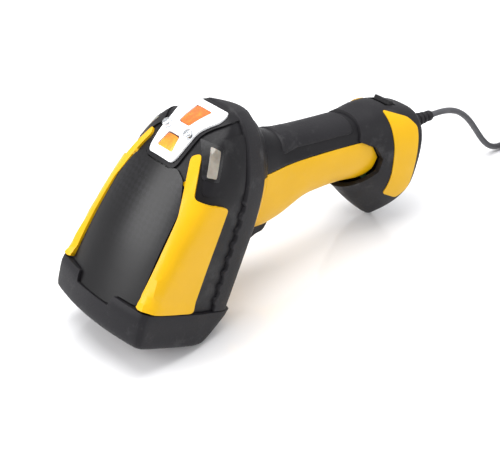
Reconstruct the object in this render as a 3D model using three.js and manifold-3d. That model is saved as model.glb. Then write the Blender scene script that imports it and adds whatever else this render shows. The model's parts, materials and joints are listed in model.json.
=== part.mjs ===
// Handheld barcode scanner with a pistol grip, a corded lead and a flared foot.
//
// The pieces are laid out in the held frame, in millimetres: x runs towards the scan
// window, y to the scanner's left and z up through the label side. One group turns that
// frame into the resting pose, in which the scanner lies on the lower rim of its nose and
// the toe of its foot, with z up and the origin on the floor under its middle. The lead
// lies on the floor and is laid out in the resting frame.

import * as THREE from 'three';
import { mergeVertices } from 'three/addons/utils/BufferGeometryUtils.js';
import Module from 'manifold-3d';

const wasm = await Module();
wasm.setup();

// ---------------------------------------------------------------- driving dimensions

const GAP = 0.3;                  // left between pieces that touch
const WALL = 2.4;                 // casing wall
const BOOT_WALL = 3.2;            // rubber of the foot
const REST_PITCH = THREE.MathUtils.degToRad(64.92);

const HEAD_FRONT = -18;           // where the casing meets the nose boot
const HEAD_REAR = -119;
const HEAD_STEPS = 9;             // rings along the head
const GLAND_RAKE = THREE.MathUtils.degToRad(21);
const NOSE_TIP = 2;
const SOLE_Z = -141;              // sole height under the middle of the foot
const SOLE_SLOPE = -0.105;        // the toe is lower than the heel
const SOLE_MIDDLE_X = -104;

const WINDOW_CENTRE_Z = 27;
const TRIGGER_AXIS = new THREE.Vector3(-66, 0, -24.5);
const TRIGGER_HALF_WIDTH = 9.5;
const PIN_RADIUS = 1.5;

const CABLE_DIAMETER = 4;
const GLAND_LENGTH = 43;
const GLAND_BASE = new THREE.Vector3(-119.5, 0, -129);
const COIL_TURN_DIAMETER = 48;    // across the middle of the coil's turns
const COIL_WIDTH = 12.4;
const COIL_HEIGHT = 16.4;
const COIL_CENTRE = new THREE.Vector3(-100.3, 30, 0);   // x is measured from the gland's end

// ---------------------------------------------------------------- colours and finishes

const YELLOW = finish(0xf9c62e, 0.42);
const BLACK = finish(0x2b2a2e, 0.55);
const RUBBER = finish(0x3a393d, 0.75);
const PLATE = finish(0x232226, 0.4);
const WHITE = finish(0xf8f9fb, 0.3);
const AMBER = finish(0xe08a2a, 0.2);
const SMOKE = finish(0x8b8578, 0.25);
const CHROME = finish(0xd0d2d4, 0.2, 1);
const STEEL = finish(0xa9abad, 0.35, 1);
const GLASS = finish(0x5a1418, 0.1);
const BOARD = finish(0x1f5a36, 0.5);
const LEAD = finish(0x3b3b3d, 0.6);

function finish(color, roughness, metalness = 0) {
  return { color, roughness, metalness };
}

// ---------------------------------------------------------------- solids and booleans

function solid(geometry) {
  const bare = geometry.clone();
  bare.deleteAttribute('normal');
  bare.deleteAttribute('uv');
  const merged = mergeVertices(bare, 1e-4);
  return new wasm.Manifold(new wasm.Mesh({
    numProp: 3,
    vertProperties: new Float32Array(merged.getAttribute('position').array),
    triVerts: new Uint32Array(merged.index.array),
  }));
}

function geometryOf(manifold) {
  const mesh = manifold.getMesh();
  const geometry = new THREE.BufferGeometry();
  geometry.setAttribute('position', new THREE.BufferAttribute(mesh.vertProperties, 3));
  geometry.setIndex(new THREE.BufferAttribute(mesh.triVerts, 1));
  geometry.computeVertexNormals();
  return geometry;
}

// A closed body through rings of points that turn anticlockwise seen from the first ring.
function loft(rings) {
  const sides = rings[0].length;
  const geometry = new THREE.CylinderGeometry(1, 1, 1, sides, rings.length - 1);
  const position = geometry.getAttribute('position');
  let row = 0;
  rings.forEach((ring) => {
    for (let side = 0; side <= sides; side += 1) {
      const point = ring[side % sides];
      position.setXYZ(row, point.x, point.y, point.z);
      row += 1;
    }
  });
  [rings[0], rings.at(-1)].forEach((ring) => {
    const middle = new THREE.Vector3();
    ring.forEach((point) => middle.addScaledVector(point, 1 / sides));
    for (let side = 0; side < sides; side += 1) {
      position.setXYZ(row, middle.x, middle.y, middle.z);
      row += 1;
    }
    for (let side = 0; side <= sides; side += 1) {
      const point = ring[side % sides];
      position.setXYZ(row, point.x, point.y, point.z);
      row += 1;
    }
  });
  return solid(geometry);
}

// A polygon with its corners rounded off.
function roundedShape(points, radius) {
  const shape = new THREE.Shape();
  points.forEach((point, i) => {
    const corner = new THREE.Vector2(...point);
    const before = new THREE.Vector2(...points.at(i - 1));
    const after = new THREE.Vector2(...points[(i + 1) % points.length]);
    const cut = Math.min(radius, corner.distanceTo(before) / 2.1, corner.distanceTo(after) / 2.1);
    const start = corner.clone().add(before.sub(corner).setLength(cut));
    const end = corner.clone().add(after.sub(corner).setLength(cut));
    if (i === 0) shape.moveTo(start.x, start.y);
    else shape.lineTo(start.x, start.y);
    if (radius > 0) shape.quadraticCurveTo(corner.x, corner.y, end.x, end.y);
  });
  shape.closePath();
  return shape;
}

function rectangle(width, height, middleX = 0, middleY = 0) {
  const x = width / 2;
  const y = height / 2;
  return [[-x, -y], [x, -y], [x, y], [-x, y]].map(([u, v]) => [u + middleX, v + middleY]);
}

// Prisms of an outline drawn from the side (x, z), from above (x, y) or from the front (y, z).
function sidePrism(points, fromY, toY, radius = 0) {
  const geometry = extrude(points, toY - fromY, radius);
  geometry.rotateX(Math.PI / 2);
  geometry.translate(0, toY, 0);
  return solid(geometry);
}

function planPrism(points, fromZ, toZ, radius = 0) {
  const geometry = extrude(points, toZ - fromZ, radius);
  geometry.translate(0, 0, fromZ);
  return solid(geometry);
}

function frontPrism(points, fromX, toX, radius = 0) {
  const geometry = extrude(points, toX - fromX, radius);
  const turn = new THREE.Matrix4().makeBasis(
    new THREE.Vector3(0, 1, 0),
    new THREE.Vector3(0, 0, 1),
    new THREE.Vector3(1, 0, 0),
  );
  geometry.applyMatrix4(turn);
  geometry.translate(fromX, 0, 0);
  return solid(geometry);
}

function extrude(points, depth, radius) {
  const shape = roundedShape(points, radius);
  return new THREE.ExtrudeGeometry(shape, { depth, bevelEnabled: false, curveSegments: 2 });
}

// A box given by its corners.
function block(from, to) {
  const size = to.map((value, i) => value - from[i]);
  const geometry = new THREE.BoxGeometry(...size);
  geometry.translate(...from.map((value, i) => value + size[i] / 2));
  return solid(geometry);
}

// A turned body: its profile is (radius, distance along the axis).
function turned(profile, origin, axis, segments = 14) {
  const points = profile.map(([radius, along]) => new THREE.Vector2(radius, along));
  const geometry = new THREE.LatheGeometry(points, segments);
  const up = new THREE.Vector3(0, 1, 0);
  const turn = new THREE.Quaternion().setFromUnitVectors(up, axis.clone().normalize());
  geometry.applyQuaternion(turn);
  geometry.translate(origin.x, origin.y, origin.z);
  return solid(geometry);
}

function rod(radius, length, origin, axis, segments = 14) {
  return turned([[0, 0], [radius, 0], [radius, length], [0, length]], origin, axis, segments);
}

function mirrorY(manifold) {
  const geometry = geometryOf(manifold);
  geometry.scale(1, -1, 1);
  const index = geometry.index.array;
  for (let i = 0; i < index.length; i += 3) {
    [index[i], index[i + 1]] = [index[i + 1], index[i]];
  }
  return solid(geometry);
}

// A body whose right half is the exact mirror image of its left half.
function symmetric(body) {
  const left = body.intersect(block([-300, 0, -300], [300, 300, 300]));
  return left.add(mirrorY(left));
}

// ---------------------------------------------------------------- the head's surface

// Each station gives the left half of the head's section: crown and keel heights on the
// middle line, and (y, z) of the feature lines between them.
const HEAD_STATIONS = [
  { x: -18, crown: 56, label: [29, 51.2], shoulder: [34, 48.8], belt: [35.5, 22],
    seam: [34.3, 8], hem: [31, -7], bilge: [20, -11], keel: -12 },
  { x: -46, crown: 51.5, label: [28, 46.4], shoulder: [33.7, 41.4], belt: [35.2, 21],
    seam: [34, 8], hem: [30.5, -8], bilge: [20, -16.5], keel: -18 },
  { x: -70, crown: 46, label: [26.5, 40.8], shoulder: [33, 34], belt: [34.5, 20],
    seam: [33.4, 7.5], hem: [29.5, -9], bilge: [19, -19], keel: -20.5 },
  { x: -90, crown: 40, label: [20, 37.2], shoulder: [29.5, 30.5], belt: [31.5, 17.5],
    seam: [30, 6], hem: [25.5, -10], bilge: [17, -20], keel: -21 },
  { x: -105, crown: 32.5, label: [16, 30.8], shoulder: [24.5, 26], belt: [24.5, 14],
    seam: [22.5, 4], hem: [18.5, -8], bilge: [13, -16.5], keel: -18 },
  { x: -114, crown: 22.5, label: [14, 21.8], shoulder: [18.3, 18], belt: [17.5, 10.5],
    seam: [15, 2], hem: [11.5, -6], bilge: [8, -11], keel: -12.5 },
  { x: -119, crown: 15, label: [8, 14.6], shoulder: [10, 12.5], belt: [9.5, 9],
    seam: [8.5, 4], hem: [6.5, -1], bilge: [4, -4], keel: -5 },
];

const HEAD_LINES = headLines();

function headLines() {
  const brow = ({ crown, label }) => [0.55 * label[0], crown - 0.3 * (crown - label[1])];
  const pick = [
    (s) => [0, s.crown], brow, (s) => s.label, (s) => s.shoulder, (s) => s.belt,
    (s) => s.seam, (s) => s.hem, (s) => s.bilge, (s) => [0, s.keel],
  ];
  return pick.map((line) => new THREE.CatmullRomCurve3(
    HEAD_STATIONS.map((s) => new THREE.Vector3(s.x, ...line(s))),
  ));
}

// The head grown by an offset, its front open section running on by the given length.
function head(offset, runOn = 0) {
  const rings = [];
  for (let step = 0; step <= HEAD_STEPS; step += 1) {
    const left = HEAD_LINES.map((line) => line.getPoint(step / HEAD_STEPS));
    const middle = (left[0].z + left.at(-1).z) / 2;
    const rise = (left[0].z - left.at(-1).z) / 2;
    const reach = left[4].y;
    const right = left.slice(1, -1).reverse().map((p) => new THREE.Vector3(p.x, -p.y, p.z));
    rings.push([...left, ...right].reverse().map((p) => new THREE.Vector3(
      THREE.MathUtils.mapLinear(p.x, HEAD_FRONT, HEAD_REAR, HEAD_FRONT, HEAD_REAR - offset),
      p.y * (1 + offset / reach),
      middle + (p.z - middle) * (1 + offset / rise),
    )));
  }
  if (runOn > 0) rings.unshift(rings[0].map((p) => p.clone().setX(HEAD_FRONT + runOn)));
  return symmetric(loft(rings));
}

// A plate that follows the head's surface between two offsets.
function headPlate(inner, outer) {
  return head(outer).subtract(head(inner, 3));
}

// ---------------------------------------------------------------- handle and foot surface

// Level sections of the handle: height, rearmost x, foremost x and half width.
const HANDLE_STATIONS = [
  [-6, -110, -54, 20], [-20, -110.5, -55, 19], [-33, -110.5, -54, 18], [-46, -113.5, -60, 17.2],
  [-62, -118, -74, 16.6], [-78, -123, -81.5, 16.6], [-92, -127.5, -86.5, 17], [-110, -133, -90, 17],
];

// Level sections of the rubber foot; the last two make its rounded edge.
const FOOT_STATIONS = [
  [-86, -126.8, -84.5, 17.8], [-94, -130.2, -83.5, 18.6], [-103, -134.4, -80.5, 20],
  [-114, -137.4, -75, 22.4], [-127, -138.9, -69.6, 24.2], [-137, -139.3, -66.4, 24.6],
  [SOLE_Z, -137.9, -67, 23.4],
];

// A rounded level section; a toe taper above zero narrows its front.
function ovalRing(z, back, front, halfWidth, power, toeTaper = 0, slope = 0) {
  const sides = 20;
  const reach = (front - back) / 2;
  const middle = (front + back) / 2;
  return Array.from({ length: sides }, (_, i) => {
    const angle = (2 * Math.PI * i) / sides;
    const c = Math.sign(Math.cos(angle)) * Math.abs(Math.cos(angle)) ** (2 / power);
    const s = Math.sign(Math.sin(angle)) * Math.abs(Math.sin(angle)) ** (2 / power);
    const x = middle + reach * c;
    const taper = 1 - toeTaper * Math.max(0, c) ** 2;
    return new THREE.Vector3(x, halfWidth * s * taper, z + slope * (x - SOLE_MIDDLE_X));
  });
}

// The handle grown by an offset, running on to the given heights at both ends.
function handle(offset, topZ = HANDLE_STATIONS[0][0], bottomZ = HANDLE_STATIONS.at(-1)[0]) {
  const rings = HANDLE_STATIONS.map(([z, back, front, halfWidth], i) => {
    const last = i === HANDLE_STATIONS.length - 1;
    const level = i === 0 ? topZ : last ? bottomZ : z;
    return ovalRing(level, back - offset, front + offset, halfWidth + offset, 2.4);
  });
  return loft(rings);
}

// The foot grown by an offset, its sole lowered by extra; its sections square up and tilt
// towards the sole.
function foot(offset, extra = 0) {
  const rings = FOOT_STATIONS.map(([z, back, front, halfWidth], i) => {
    const done = i / (FOOT_STATIONS.length - 1);
    const level = i === FOOT_STATIONS.length - 1 ? z - extra : z;
    const spread = [back - offset, front + offset, halfWidth + offset];
    return ovalRing(level, ...spread, 2.4 + 0.5 * done, 0.88 * done, SOLE_SLOPE * done);
  });
  return loft(rings);
}

// ---------------------------------------------------------------- casing shells

// Side outlines of the parting lines, from the nose backwards.
const PARTING = [[-15, -9.3], [-80, -10.5], [-92, -13], [-101, -19], [-108, -26], [-128, -33]];
const GRIP_LINE = [[-90.5, -13.2], [-90.5, -19], [-99, -42], [-104, -57], [-109, -72], [-115, -91]];
const TONGUE = [[-113.6, -101], [-108, -108.4], [-100, -109], [-91, -103.5], [-86, -98]];
const BOOT_TOP = -88;
const HANDLE_END = -108.5;

const bodyOuter = head(0).add(handle(0));
const bodyInner = head(-WALL, 1).add(handle(-WALL, -5, -112));
const bodyShell = bodyOuter.subtract(bodyInner);

function shifted(points, dx, dz) {
  return points.map(([x, z]) => [x + dx, z + dz]);
}

function upperRegion() {
  return sidePrism([...PARTING, [-128, 70], [-15, 70]], -50, 50);
}

function frontRegion() {
  const top = shifted(PARTING.slice(0, 2), 0, -GAP);
  return sidePrism([...top, ...GRIP_LINE, ...TONGUE, [-50, -98], [-15, -60]], -50, 50);
}

function backRegion() {
  const edge = shifted(GRIP_LINE.slice(0, -1), -GAP, 0);
  const top = shifted(PARTING.slice(2), 0, -1.4 * GAP).reverse();
  const end = [[-115, -90], [-115.6, -91.5], [-115.6, HANDLE_END], [-145, HANDLE_END], [-145, -40]];
  return sidePrism([[-91.2, -13.6], ...edge.slice(1), ...end, ...top], -50, 50);
}

function headCasing() {
  const lampWell = planPrism(LAMP_WELL, 5, 70, 2);
  return bodyShell.intersect(upperRegion()).subtract(lampWell);
}

function lowerCasing() {
  const slot = block([-72, -TRIGGER_HALF_WIDTH - 0.7, -47], [-30, TRIGGER_HALF_WIDTH + 0.7, -21.2]);
  const shell = bodyShell.intersect(frontRegion()).subtract(slot);
  const across = new THREE.Vector3(0, 1, 0);
  const origin = TRIGGER_AXIS.clone().setY(-18);
  const boss = rod(3.6, 36, origin, across, 16).intersect(bodyOuter);
  const between = block([-80, -10.8, -40], [-50, 10.8, -10]);
  const bore = rod(PIN_RADIUS + GAP, 28, TRIGGER_AXIS.clone().setY(-14), across, 16);
  return shell.add(boss.subtract(between)).subtract(bore);
}

function handleBackShell() {
  return bodyShell.intersect(backRegion());
}

function gripPad() {
  const skin = handle(1, -7).subtract(handle(GAP, -5, -112));
  const outline = [[-98.5, -28], [-106, -42], [-110, -56], [-116, -75], [-118.5, -84], [-140, -84],
    [-140, -36], [-112, -36], [-106, -31]];
  return skin.intersect(sidePrism(outline, -50, 50, 4));
}

// ---------------------------------------------------------------- outer trim of the head

// The label plate's tab, which laps into the nose boot.
function tabOutline(margin) {
  const half = 15 + margin;
  return [[-24, half], [HEAD_FRONT, half], [-12.2 + margin, half - 2], [-12.2 + margin, 2 - half],
    [HEAD_FRONT, -half], [-24, -half]];
}

function labelPlate() {
  const outline = [[-18.3, 28.2], [-69.5, 25.7], [-84, 19.2], [-87.5, 12.8], [-85.6, 9],
    [-85.6, -9], [-87.5, -12.8], [-84, -19.2], [-69.5, -25.7], [-18.3, -28.2]];
  const plan = planPrism(outline, 25, 70, 1.5).add(planPrism(tabOutline(0), 25, 70, 1));
  return head(1.2, 8).subtract(head(GAP, 9)).intersect(plan);
}

const BUMPER_SIDE = [[-18.3, 21.5], [-76.5, 19.5], [-77.3, 37.6], [-99.5, 34], [-98, 60],
  [-18.3, 60]];

function sideBumper() {
  const plan = [[-18.3, 28.8], [-70, 26.3], [-97.5, 14.8], [-103, 18], [-103, 45], [-18.3, 45]];
  const plate = headPlate(GAP, 2.2).intersect(planPrism(plan, 0, 70, 1.5));
  return plate.intersect(sidePrism(BUMPER_SIDE, 5, 50, 2));
}

const COVER_SIDE = [[-80, 35], [-83, 9.5], [-111.5, 9.5], [-105, 31]];
const SIDE_LENS = [[-89, 33.4], [-89.5, 29.6], [-102.5, 27.6], [-103, 30.4]];

function sideCover() {
  const lensHole = sidePrism(grown(SIDE_LENS, GAP), 5, 50, 1);
  const cover = headPlate(GAP, 1.3).intersect(sidePrism(COVER_SIDE, 16, 50, 2.5));
  return cover.subtract(lensHole);
}

function sideLens() {
  return headPlate(GAP, 1).intersect(sidePrism(SIDE_LENS, 16, 50, 1));
}

// Moves an outline's points away from its middle.
function grown(points, amount) {
  const middle = new THREE.Vector2();
  points.forEach(([x, y]) => middle.add(new THREE.Vector2(x, y).divideScalar(points.length)));
  return points.map(([x, y]) => [
    x + Math.sign(x - middle.x) * amount,
    y + Math.sign(y - middle.y) * amount,
  ]);
}

// The rubber strip along the lower edge of the head, its upper edge scalloped.
function sideStrip() {
  const scallops = [];
  for (let x = -24; x > -78; x -= 8) {
    scallops.push([x, 5.5], [x - 1.5, 7], [x - 4.5, 7], [x - 6, 5.5]);
  }
  const outline = [[-18.3, -7], [-18.3, 5.5], ...scallops, [-82, 7.6], [-86, -9]];
  return headPlate(GAP, 1.7).intersect(sidePrism(outline, 16, 50));
}

// ---------------------------------------------------------------- nose

function noseRing(x, crown, label, side, lower, keel) {
  const left = [[0, crown], [0.5 * label[0], crown - 0.25 * (crown - label[1])], label,
    [label[0] + 0.75 * (side - label[0]), label[1] - 2.2], [side, label[1] - 7.5], [side, 21],
    [side - 1.2, 9], lower, [lower[0] - 9, keel + 0.8], [0, keel]];
  const right = left.slice(1, -1).reverse().map(([y, z]) => [-y, z]);
  return [...left, ...right].reverse().map(([y, z]) => new THREE.Vector3(x, y, z));
}

function noseBoot() {
  const outer = loft([
    noseRing(NOSE_TIP, 55, [31.5, 50.5], 35.8, [31, 4.5], 2.5),
    noseRing(NOSE_TIP - 2.2, 57, [33, 52.6], 37.5, [33, 1.6], -0.4),
    noseRing(-8, 58.4, [32.8, 54.2], 37.8, [33.4, -3.4], -5.6),
    noseRing(-14, 59, [32.2, 55], 38, [33.4, -6.8], -10.6),
    noseRing(HEAD_FRONT + GAP, 58.2, [32, 54.4], 37.7, [33, -8.5], -13.4),
  ]);
  const bore = frontPrism(rectangle(61, 45, 0, WINDOW_CENTRE_Z), -30, 10, 6);
  const tabSeat = planPrism(tabOutline(GAP), 54.4, 70, 1);
  return outer.subtract(bore).subtract(tabSeat);
}

function windowFrame() {
  const body = frontPrism(rectangle(60.4, 44.4, 0, WINDOW_CENTRE_Z), -11, -4, 5.7);
  return body.subtract(frontPrism(rectangle(52, 36, 0, WINDOW_CENTRE_Z), -12, 0, 4));
}

function scanWindow() {
  return frontPrism(rectangle(58, 42, 0, WINDOW_CENTRE_Z), -13.2, -11 - GAP, 5);
}

// ---------------------------------------------------------------- lamp

const LAMP_WELL = lampOutline(-90, 8.4, 9, 12.4, -115.5);
const SCREW_PLACE = new THREE.Vector3(-102.6, 8.4, 33.9);
const LAMP_TILT = THREE.MathUtils.degToRad(33);
const LAMP_NORMAL = new THREE.Vector3(-Math.sin(LAMP_TILT), 0, Math.cos(LAMP_TILT));

// An hourglass seen from above: its front, waist and rear half widths.
function lampOutline(frontX, front, waist, rear, rearX) {
  const left = [[frontX, front - 1.5], [frontX - 3, front], [-99, waist], [-106, waist],
    [rearX + 4, rear], [rearX, rear - 2.5]];
  return [...left, ...left.slice().reverse().map(([x, y]) => [x, -y])];
}

function lampFrame() {
  const outer = planPrism(lampOutline(-86.2, 11.6, 13, 17.2, -119.6), 5, 70, 2);
  const inner = planPrism(lampOutline(-88.2, 10, 11, 15.3, -118.3), 4, 71, 2);
  const brow = head(3.6).intersect(block([-130, -20, 0], [-112.5, 20, 60]));
  return head(2.4).add(brow).subtract(head(GAP, 3)).intersect(outer).subtract(inner);
}

const LENS_FRONT = [[-92.2, 5.8], [-100, 4], [-100, -4], [-92.2, -5.8]];
const LENS_REAR = [[-106.4, 4], [-115, 5.9], [-115, -5.9], [-106.4, -4]];

function lampBezel() {
  const outline = lampOutline(-88.5, 9.7, 10.7, 15, -118);
  const holes = [LENS_FRONT, LENS_REAR].map((lens) => planPrism(grown(lens, GAP), 0, 70, 1));
  const screws = [1, -1].map((side) => {
    const place = SCREW_PLACE.clone().setY(side * SCREW_PLACE.y);
    return rod(1.4, 20, place.addScaledVector(LAMP_NORMAL, -8), LAMP_NORMAL, 10);
  });
  const body = headPlate(GAP, 2).intersect(planPrism(outline, 12, 70, 2));
  return [...holes, ...screws].reduce((rest, cut) => rest.subtract(cut), body);
}

function lampLens(outline) {
  return headPlate(GAP, 1.4).intersect(planPrism(outline, 0, 70, 0.8));
}

function bezelScrew(side) {
  const profile = [[0, 0], [1.1, 0], [1.1, 2.6], [2.3, 2.6], [2.3, 3.4], [1.6, 4], [0, 4]];
  return turned(profile, SCREW_PLACE.clone().setY(side * SCREW_PLACE.y), LAMP_NORMAL, 12);
}

// ---------------------------------------------------------------- trigger

const TRIGGER_OUTLINE = [[-69.8, -21.9], [-42, -21.9], [-40.5, -24.5], [-46.5, -31.5],
  [-52.5, -37.5], [-54.3, -41.8], [-59.5, -43.4], [-67.5, -43.4], [-69.6, -41]];

function trigger() {
  const bevel = 1.2;
  const shape = roundedShape(grown(TRIGGER_OUTLINE, -bevel), 2.5);
  const geometry = new THREE.ExtrudeGeometry(shape, {
    depth: 2 * (TRIGGER_HALF_WIDTH - bevel),
    bevelSize: bevel,
    bevelThickness: bevel,
    bevelSegments: 2,
    curveSegments: 3,
  });
  geometry.rotateX(Math.PI / 2);
  geometry.translate(0, TRIGGER_HALF_WIDTH - bevel, 0);
  const across = new THREE.Vector3(0, 1, 0);
  const bore = rod(PIN_RADIUS + GAP, 40, TRIGGER_AXIS.clone().setY(-20), across, 16);
  return solid(geometry).subtract(bore);
}

function triggerHingePin() {
  return rod(PIN_RADIUS, 27, TRIGGER_AXIS.clone().setY(-13.5), new THREE.Vector3(0, 1, 0), 16);
}

const SWITCH_FRONT = -76;
const SWITCH_BACK = -88;
const SWITCH_Z = -35;
const SPRING_Z = -41;
const SPRING_FRONT = -70.4;
const BACKWARD = new THREE.Vector3(-1, 0, 0);

function switchBracket() {
  return block([SWITCH_BACK - 2.5, -9, -47], [SWITCH_BACK - GAP, 9, -28]);
}

function switchBody() {
  const bore = rod(1.7, 6, new THREE.Vector3(SWITCH_FRONT + 1, 0, SWITCH_Z), BACKWARD, 12);
  return block([SWITCH_BACK, -5, SWITCH_Z - 2.9], [SWITCH_FRONT, 5, SWITCH_Z + 4.5]).subtract(bore);
}

function switchPlunger() {
  return rod(1.4, 8, new THREE.Vector3(-70.5, 0, SWITCH_Z), BACKWARD, 12);
}

// The return spring is a wire wound round a line that runs from the trigger to the bracket.
class Helix extends THREE.Curve {
  constructor(radius, length, turns) {
    super();
    Object.assign(this, { radius, length, turns });
  }

  getPoint(t, target = new THREE.Vector3()) {
    const angle = 2 * Math.PI * this.turns * t;
    const [y, z] = [this.radius * Math.cos(angle), this.radius * Math.sin(angle)];
    return target.set(SPRING_FRONT - 0.6 - this.length * t, y, SPRING_Z + z);
  }
}

function triggerSpring() {
  const length = SPRING_FRONT - SWITCH_BACK - 1.2;
  return sweep(new Helix(2.4, length, 5), 0.4, 5, 60);
}

// A round section of a given radius carried along a curve.
function sweep(curve, radius, sides, steps) {
  const section = new THREE.Shape();
  for (let side = 0; side < sides; side += 1) {
    const angle = (2 * Math.PI * side) / sides;
    const [x, y] = [radius * Math.cos(angle), radius * Math.sin(angle)];
    if (side === 0) section.moveTo(x, y);
    else section.lineTo(x, y);
  }
  section.closePath();
  return solid(new THREE.ExtrudeGeometry(section, { steps, extrudePath: curve }));
}

// ---------------------------------------------------------------- foot

const INSERT_SIDE = [[-85, -137], [-86.5, -124], [-101, -119.5], [-116, -114.5], [-129, -108.5],
  [-146, -106], [-146, -124], [-131, -131.5], [-112, -135.5], [-93, -139.5]];

function footRegion() {
  const edge = [...GRIP_LINE.slice(-1), ...TONGUE].map(([x, z]) => [x - 0.3 * GAP, z - 1.2 * GAP]);
  edge[0] = [edge[0][0] - GAP, edge[0][1]];
  const outline = [[-150, BOOT_TOP], [-115.8, BOOT_TOP], ...edge, [-60, -98.4], [-60, -160],
    [-150, -160]];
  return sidePrism(outline, -50, 50);
}

function footBoot() {
  const pocket = block([-160, -LANYARD_HALF_WIDTH, -122.5], [-135.5, LANYARD_HALF_WIDTH, -112]);
  const chamber = foot(-BOOT_WALL, 6).intersect(block([-160, -40, -160], [-50, 40, -109.4]));
  const inner = chamber.add(handle(GAP, -30));
  const inserts = footInsertBed().add(mirrorY(footInsertBed()));
  return foot(0).subtract(inner).intersect(footRegion()).subtract(pocket).subtract(inserts);
}

// The inserts are let into the rubber and stand a little proud of it.
function footInsert() {
  const skin = foot(0.5).subtract(foot(-1.1, 4));
  return skin.intersect(sidePrism(INSERT_SIDE, 12, 50, 2));
}

function footInsertBed() {
  return foot(2).subtract(foot(-1.1 - GAP, 4))
    .intersect(sidePrism(grown(INSERT_SIDE, 2 * GAP), 12 - GAP, 50, 2));
}

const LANYARD_HALF_WIDTH = 6.5;

function lanyardBar() {
  const half = LANYARD_HALF_WIDTH - GAP;
  return sidePrism(rectangle(3.4, 3, -138.4, -117.2), -half, half, 0.8);
}

const SOLE_SCREWS = [[-82, 0], [-108, 14], [-108, -14]];
const DOWN = new THREE.Vector3(0, 0, -1);
const UP = new THREE.Vector3(0, 0, 1);

function soleSlab(fromTop, toTop) {
  const tilt = ([x, z]) => [x, SOLE_Z + z + SOLE_SLOPE * (x - SOLE_MIDDLE_X)];
  const outline = [[-150, fromTop], [-60, fromTop], [-60, toTop], [-150, toTop]].map(tilt);
  return sidePrism(outline, -40, 40);
}

function solePlate() {
  const plate = foot(-BOOT_WALL - GAP, 6).intersect(soleSlab(0.8, 3));
  const gland = rod(5.9, 40, GLAND_BASE, GLAND_AXIS, 20);
  const holes = SOLE_SCREWS.map(([x, y]) => rod(1.7, 20, new THREE.Vector3(x, y, -130), DOWN, 10));
  return holes.reduce((rest, cut) => rest.subtract(cut), plate.subtract(gland));
}

function soleScrew([x, y]) {
  const seat = SOLE_Z + 0.8 + SOLE_SLOPE * (x - SOLE_MIDDLE_X) - GAP;
  const profile = [[0, 0], [2.6, 0], [2.6, 0.5], [1.4, 0.8], [1.4, 7], [0, 7]];
  const head = new THREE.Vector3(x, y, seat - 0.8);
  return turned(profile, head, UP, 10);
}

// ---------------------------------------------------------------- gland and lead

const GLAND_AXIS = new THREE.Vector3(-Math.sin(GLAND_RAKE), 0, -Math.cos(GLAND_RAKE));

// A tapering strain relief with three grooves near its free end.
function cableGland() {
  const profile = [[0, 0], [5.2, 0], [5.2, 12], [4.7, 14], [4.4, 28]];
  for (let along = 29; along < 40; along += 4) {
    const radius = 4.4 - 0.1 * (along - 29);
    profile.push([radius, along], [radius - 1.2, along + 0.6]);
    profile.push([radius - 1.2, along + 1.6], [radius - 0.2, along + 2.2]);
  }
  profile.push([3, GLAND_LENGTH], [0, GLAND_LENGTH]);
  return turned(profile, GLAND_BASE, GLAND_AXIS, 16);
}

// The lead's way from the gland to the coil, in the resting frame with x measured from the
// gland's end: straight out of the gland, down under its own weight, then along the floor.
const LEAD_ROUTE = [
  [-0.3, 0, 51.2], [-6.3, 0, 50.7], [-12.3, 0, 49.9], [-18.3, 0.1, 48.5], [-24.3, 0.2, 46.2],
  [-30.3, 0.3, 42.8], [-36.3, 0.5, 38], [-42.3, 0.7, 31.8], [-47.8, 1, 25], [-53.3, 1.3, 17.9],
  [-59.3, 1.6, 11.2], [-65.8, 1.8, 6.1], [-73.3, 1.95, 3.2], [-83.3, 2, 2.3],
];

function leadAlong(points) {
  const route = new THREE.CatmullRomCurve3(points.map((point) => new THREE.Vector3(...point)));
  return sweep(route, CABLE_DIAMETER / 2, 8, Math.round(route.getLength() / 4));
}

function cableCoil() {
  const radius = COIL_TURN_DIAMETER / 2;
  const half = COIL_WIDTH / 2;
  const profile = [[radius - half, 0.3], [radius + half, 0.3], [radius + half, COIL_HEIGHT],
    [radius - half, COIL_HEIGHT], [radius - half, 0.3]];
  return turned(profile, COIL_CENTRE, UP, 28);
}

// The end of the lead: round a quarter of the coil's outside, down to the plug.
const TAIL_RADIUS = 32.6;
const PLUG_START = new THREE.Vector3(-81.5, COIL_CENTRE.y + TAIL_RADIUS, 4.8);
const PLUG_BODY = new THREE.Vector3(32, 16, 8);
const PLUG_SHELL = new THREE.Vector3(13, 12, 4.5);

function tailRoute() {
  const points = [];
  for (let step = 0; step <= 6; step += 1) {
    const angle = Math.PI * (1 - step / 12);
    points.push([COIL_CENTRE.x + TAIL_RADIUS * Math.cos(angle),
      COIL_CENTRE.y + TAIL_RADIUS * Math.sin(angle), 8.9 - 4.1 * (step / 6)]);
  }
  const straight = [-12, -6, -GAP].map((x) => [PLUG_START.x + x, PLUG_START.y, PLUG_START.z]);
  return [...points, ...straight];
}

// A box beyond the lead's end, along the floor.
function plugBox(size, along) {
  const from = [PLUG_START.x + along, PLUG_START.y - size.y / 2, PLUG_START.z - size.z / 2];
  return block(from, [from[0] + size.x, from[1] + size.y, from[2] + size.z]);
}

function plugShell() {
  const hollow = new THREE.Vector3(PLUG_SHELL.x, PLUG_SHELL.y - 0.8, PLUG_SHELL.z - 0.8);
  const start = PLUG_BODY.x + GAP;
  return plugBox(PLUG_SHELL, start).subtract(plugBox(hollow, start + 1));
}

// ---------------------------------------------------------------- what the casing holds

function imagerBlock() {
  return block([-60, -17, 14], [-34, 17, 38]);
}

function imagerBarrel() {
  const profile = [[0, 0], [8, 0], [8, 7], [6.6, 7], [6.6, 10], [0, 10]];
  return turned(profile, new THREE.Vector3(-34 + GAP, 0, 26), new THREE.Vector3(1, 0, 0), 18);
}

function illuminationBoard() {
  const plate = frontPrism(rectangle(56, 30, 0, 26), -32, -30.4, 2);
  return plate.subtract(frontPrism(rectangle(18, 18, 0, 26), -33, -29, 8));
}

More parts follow.
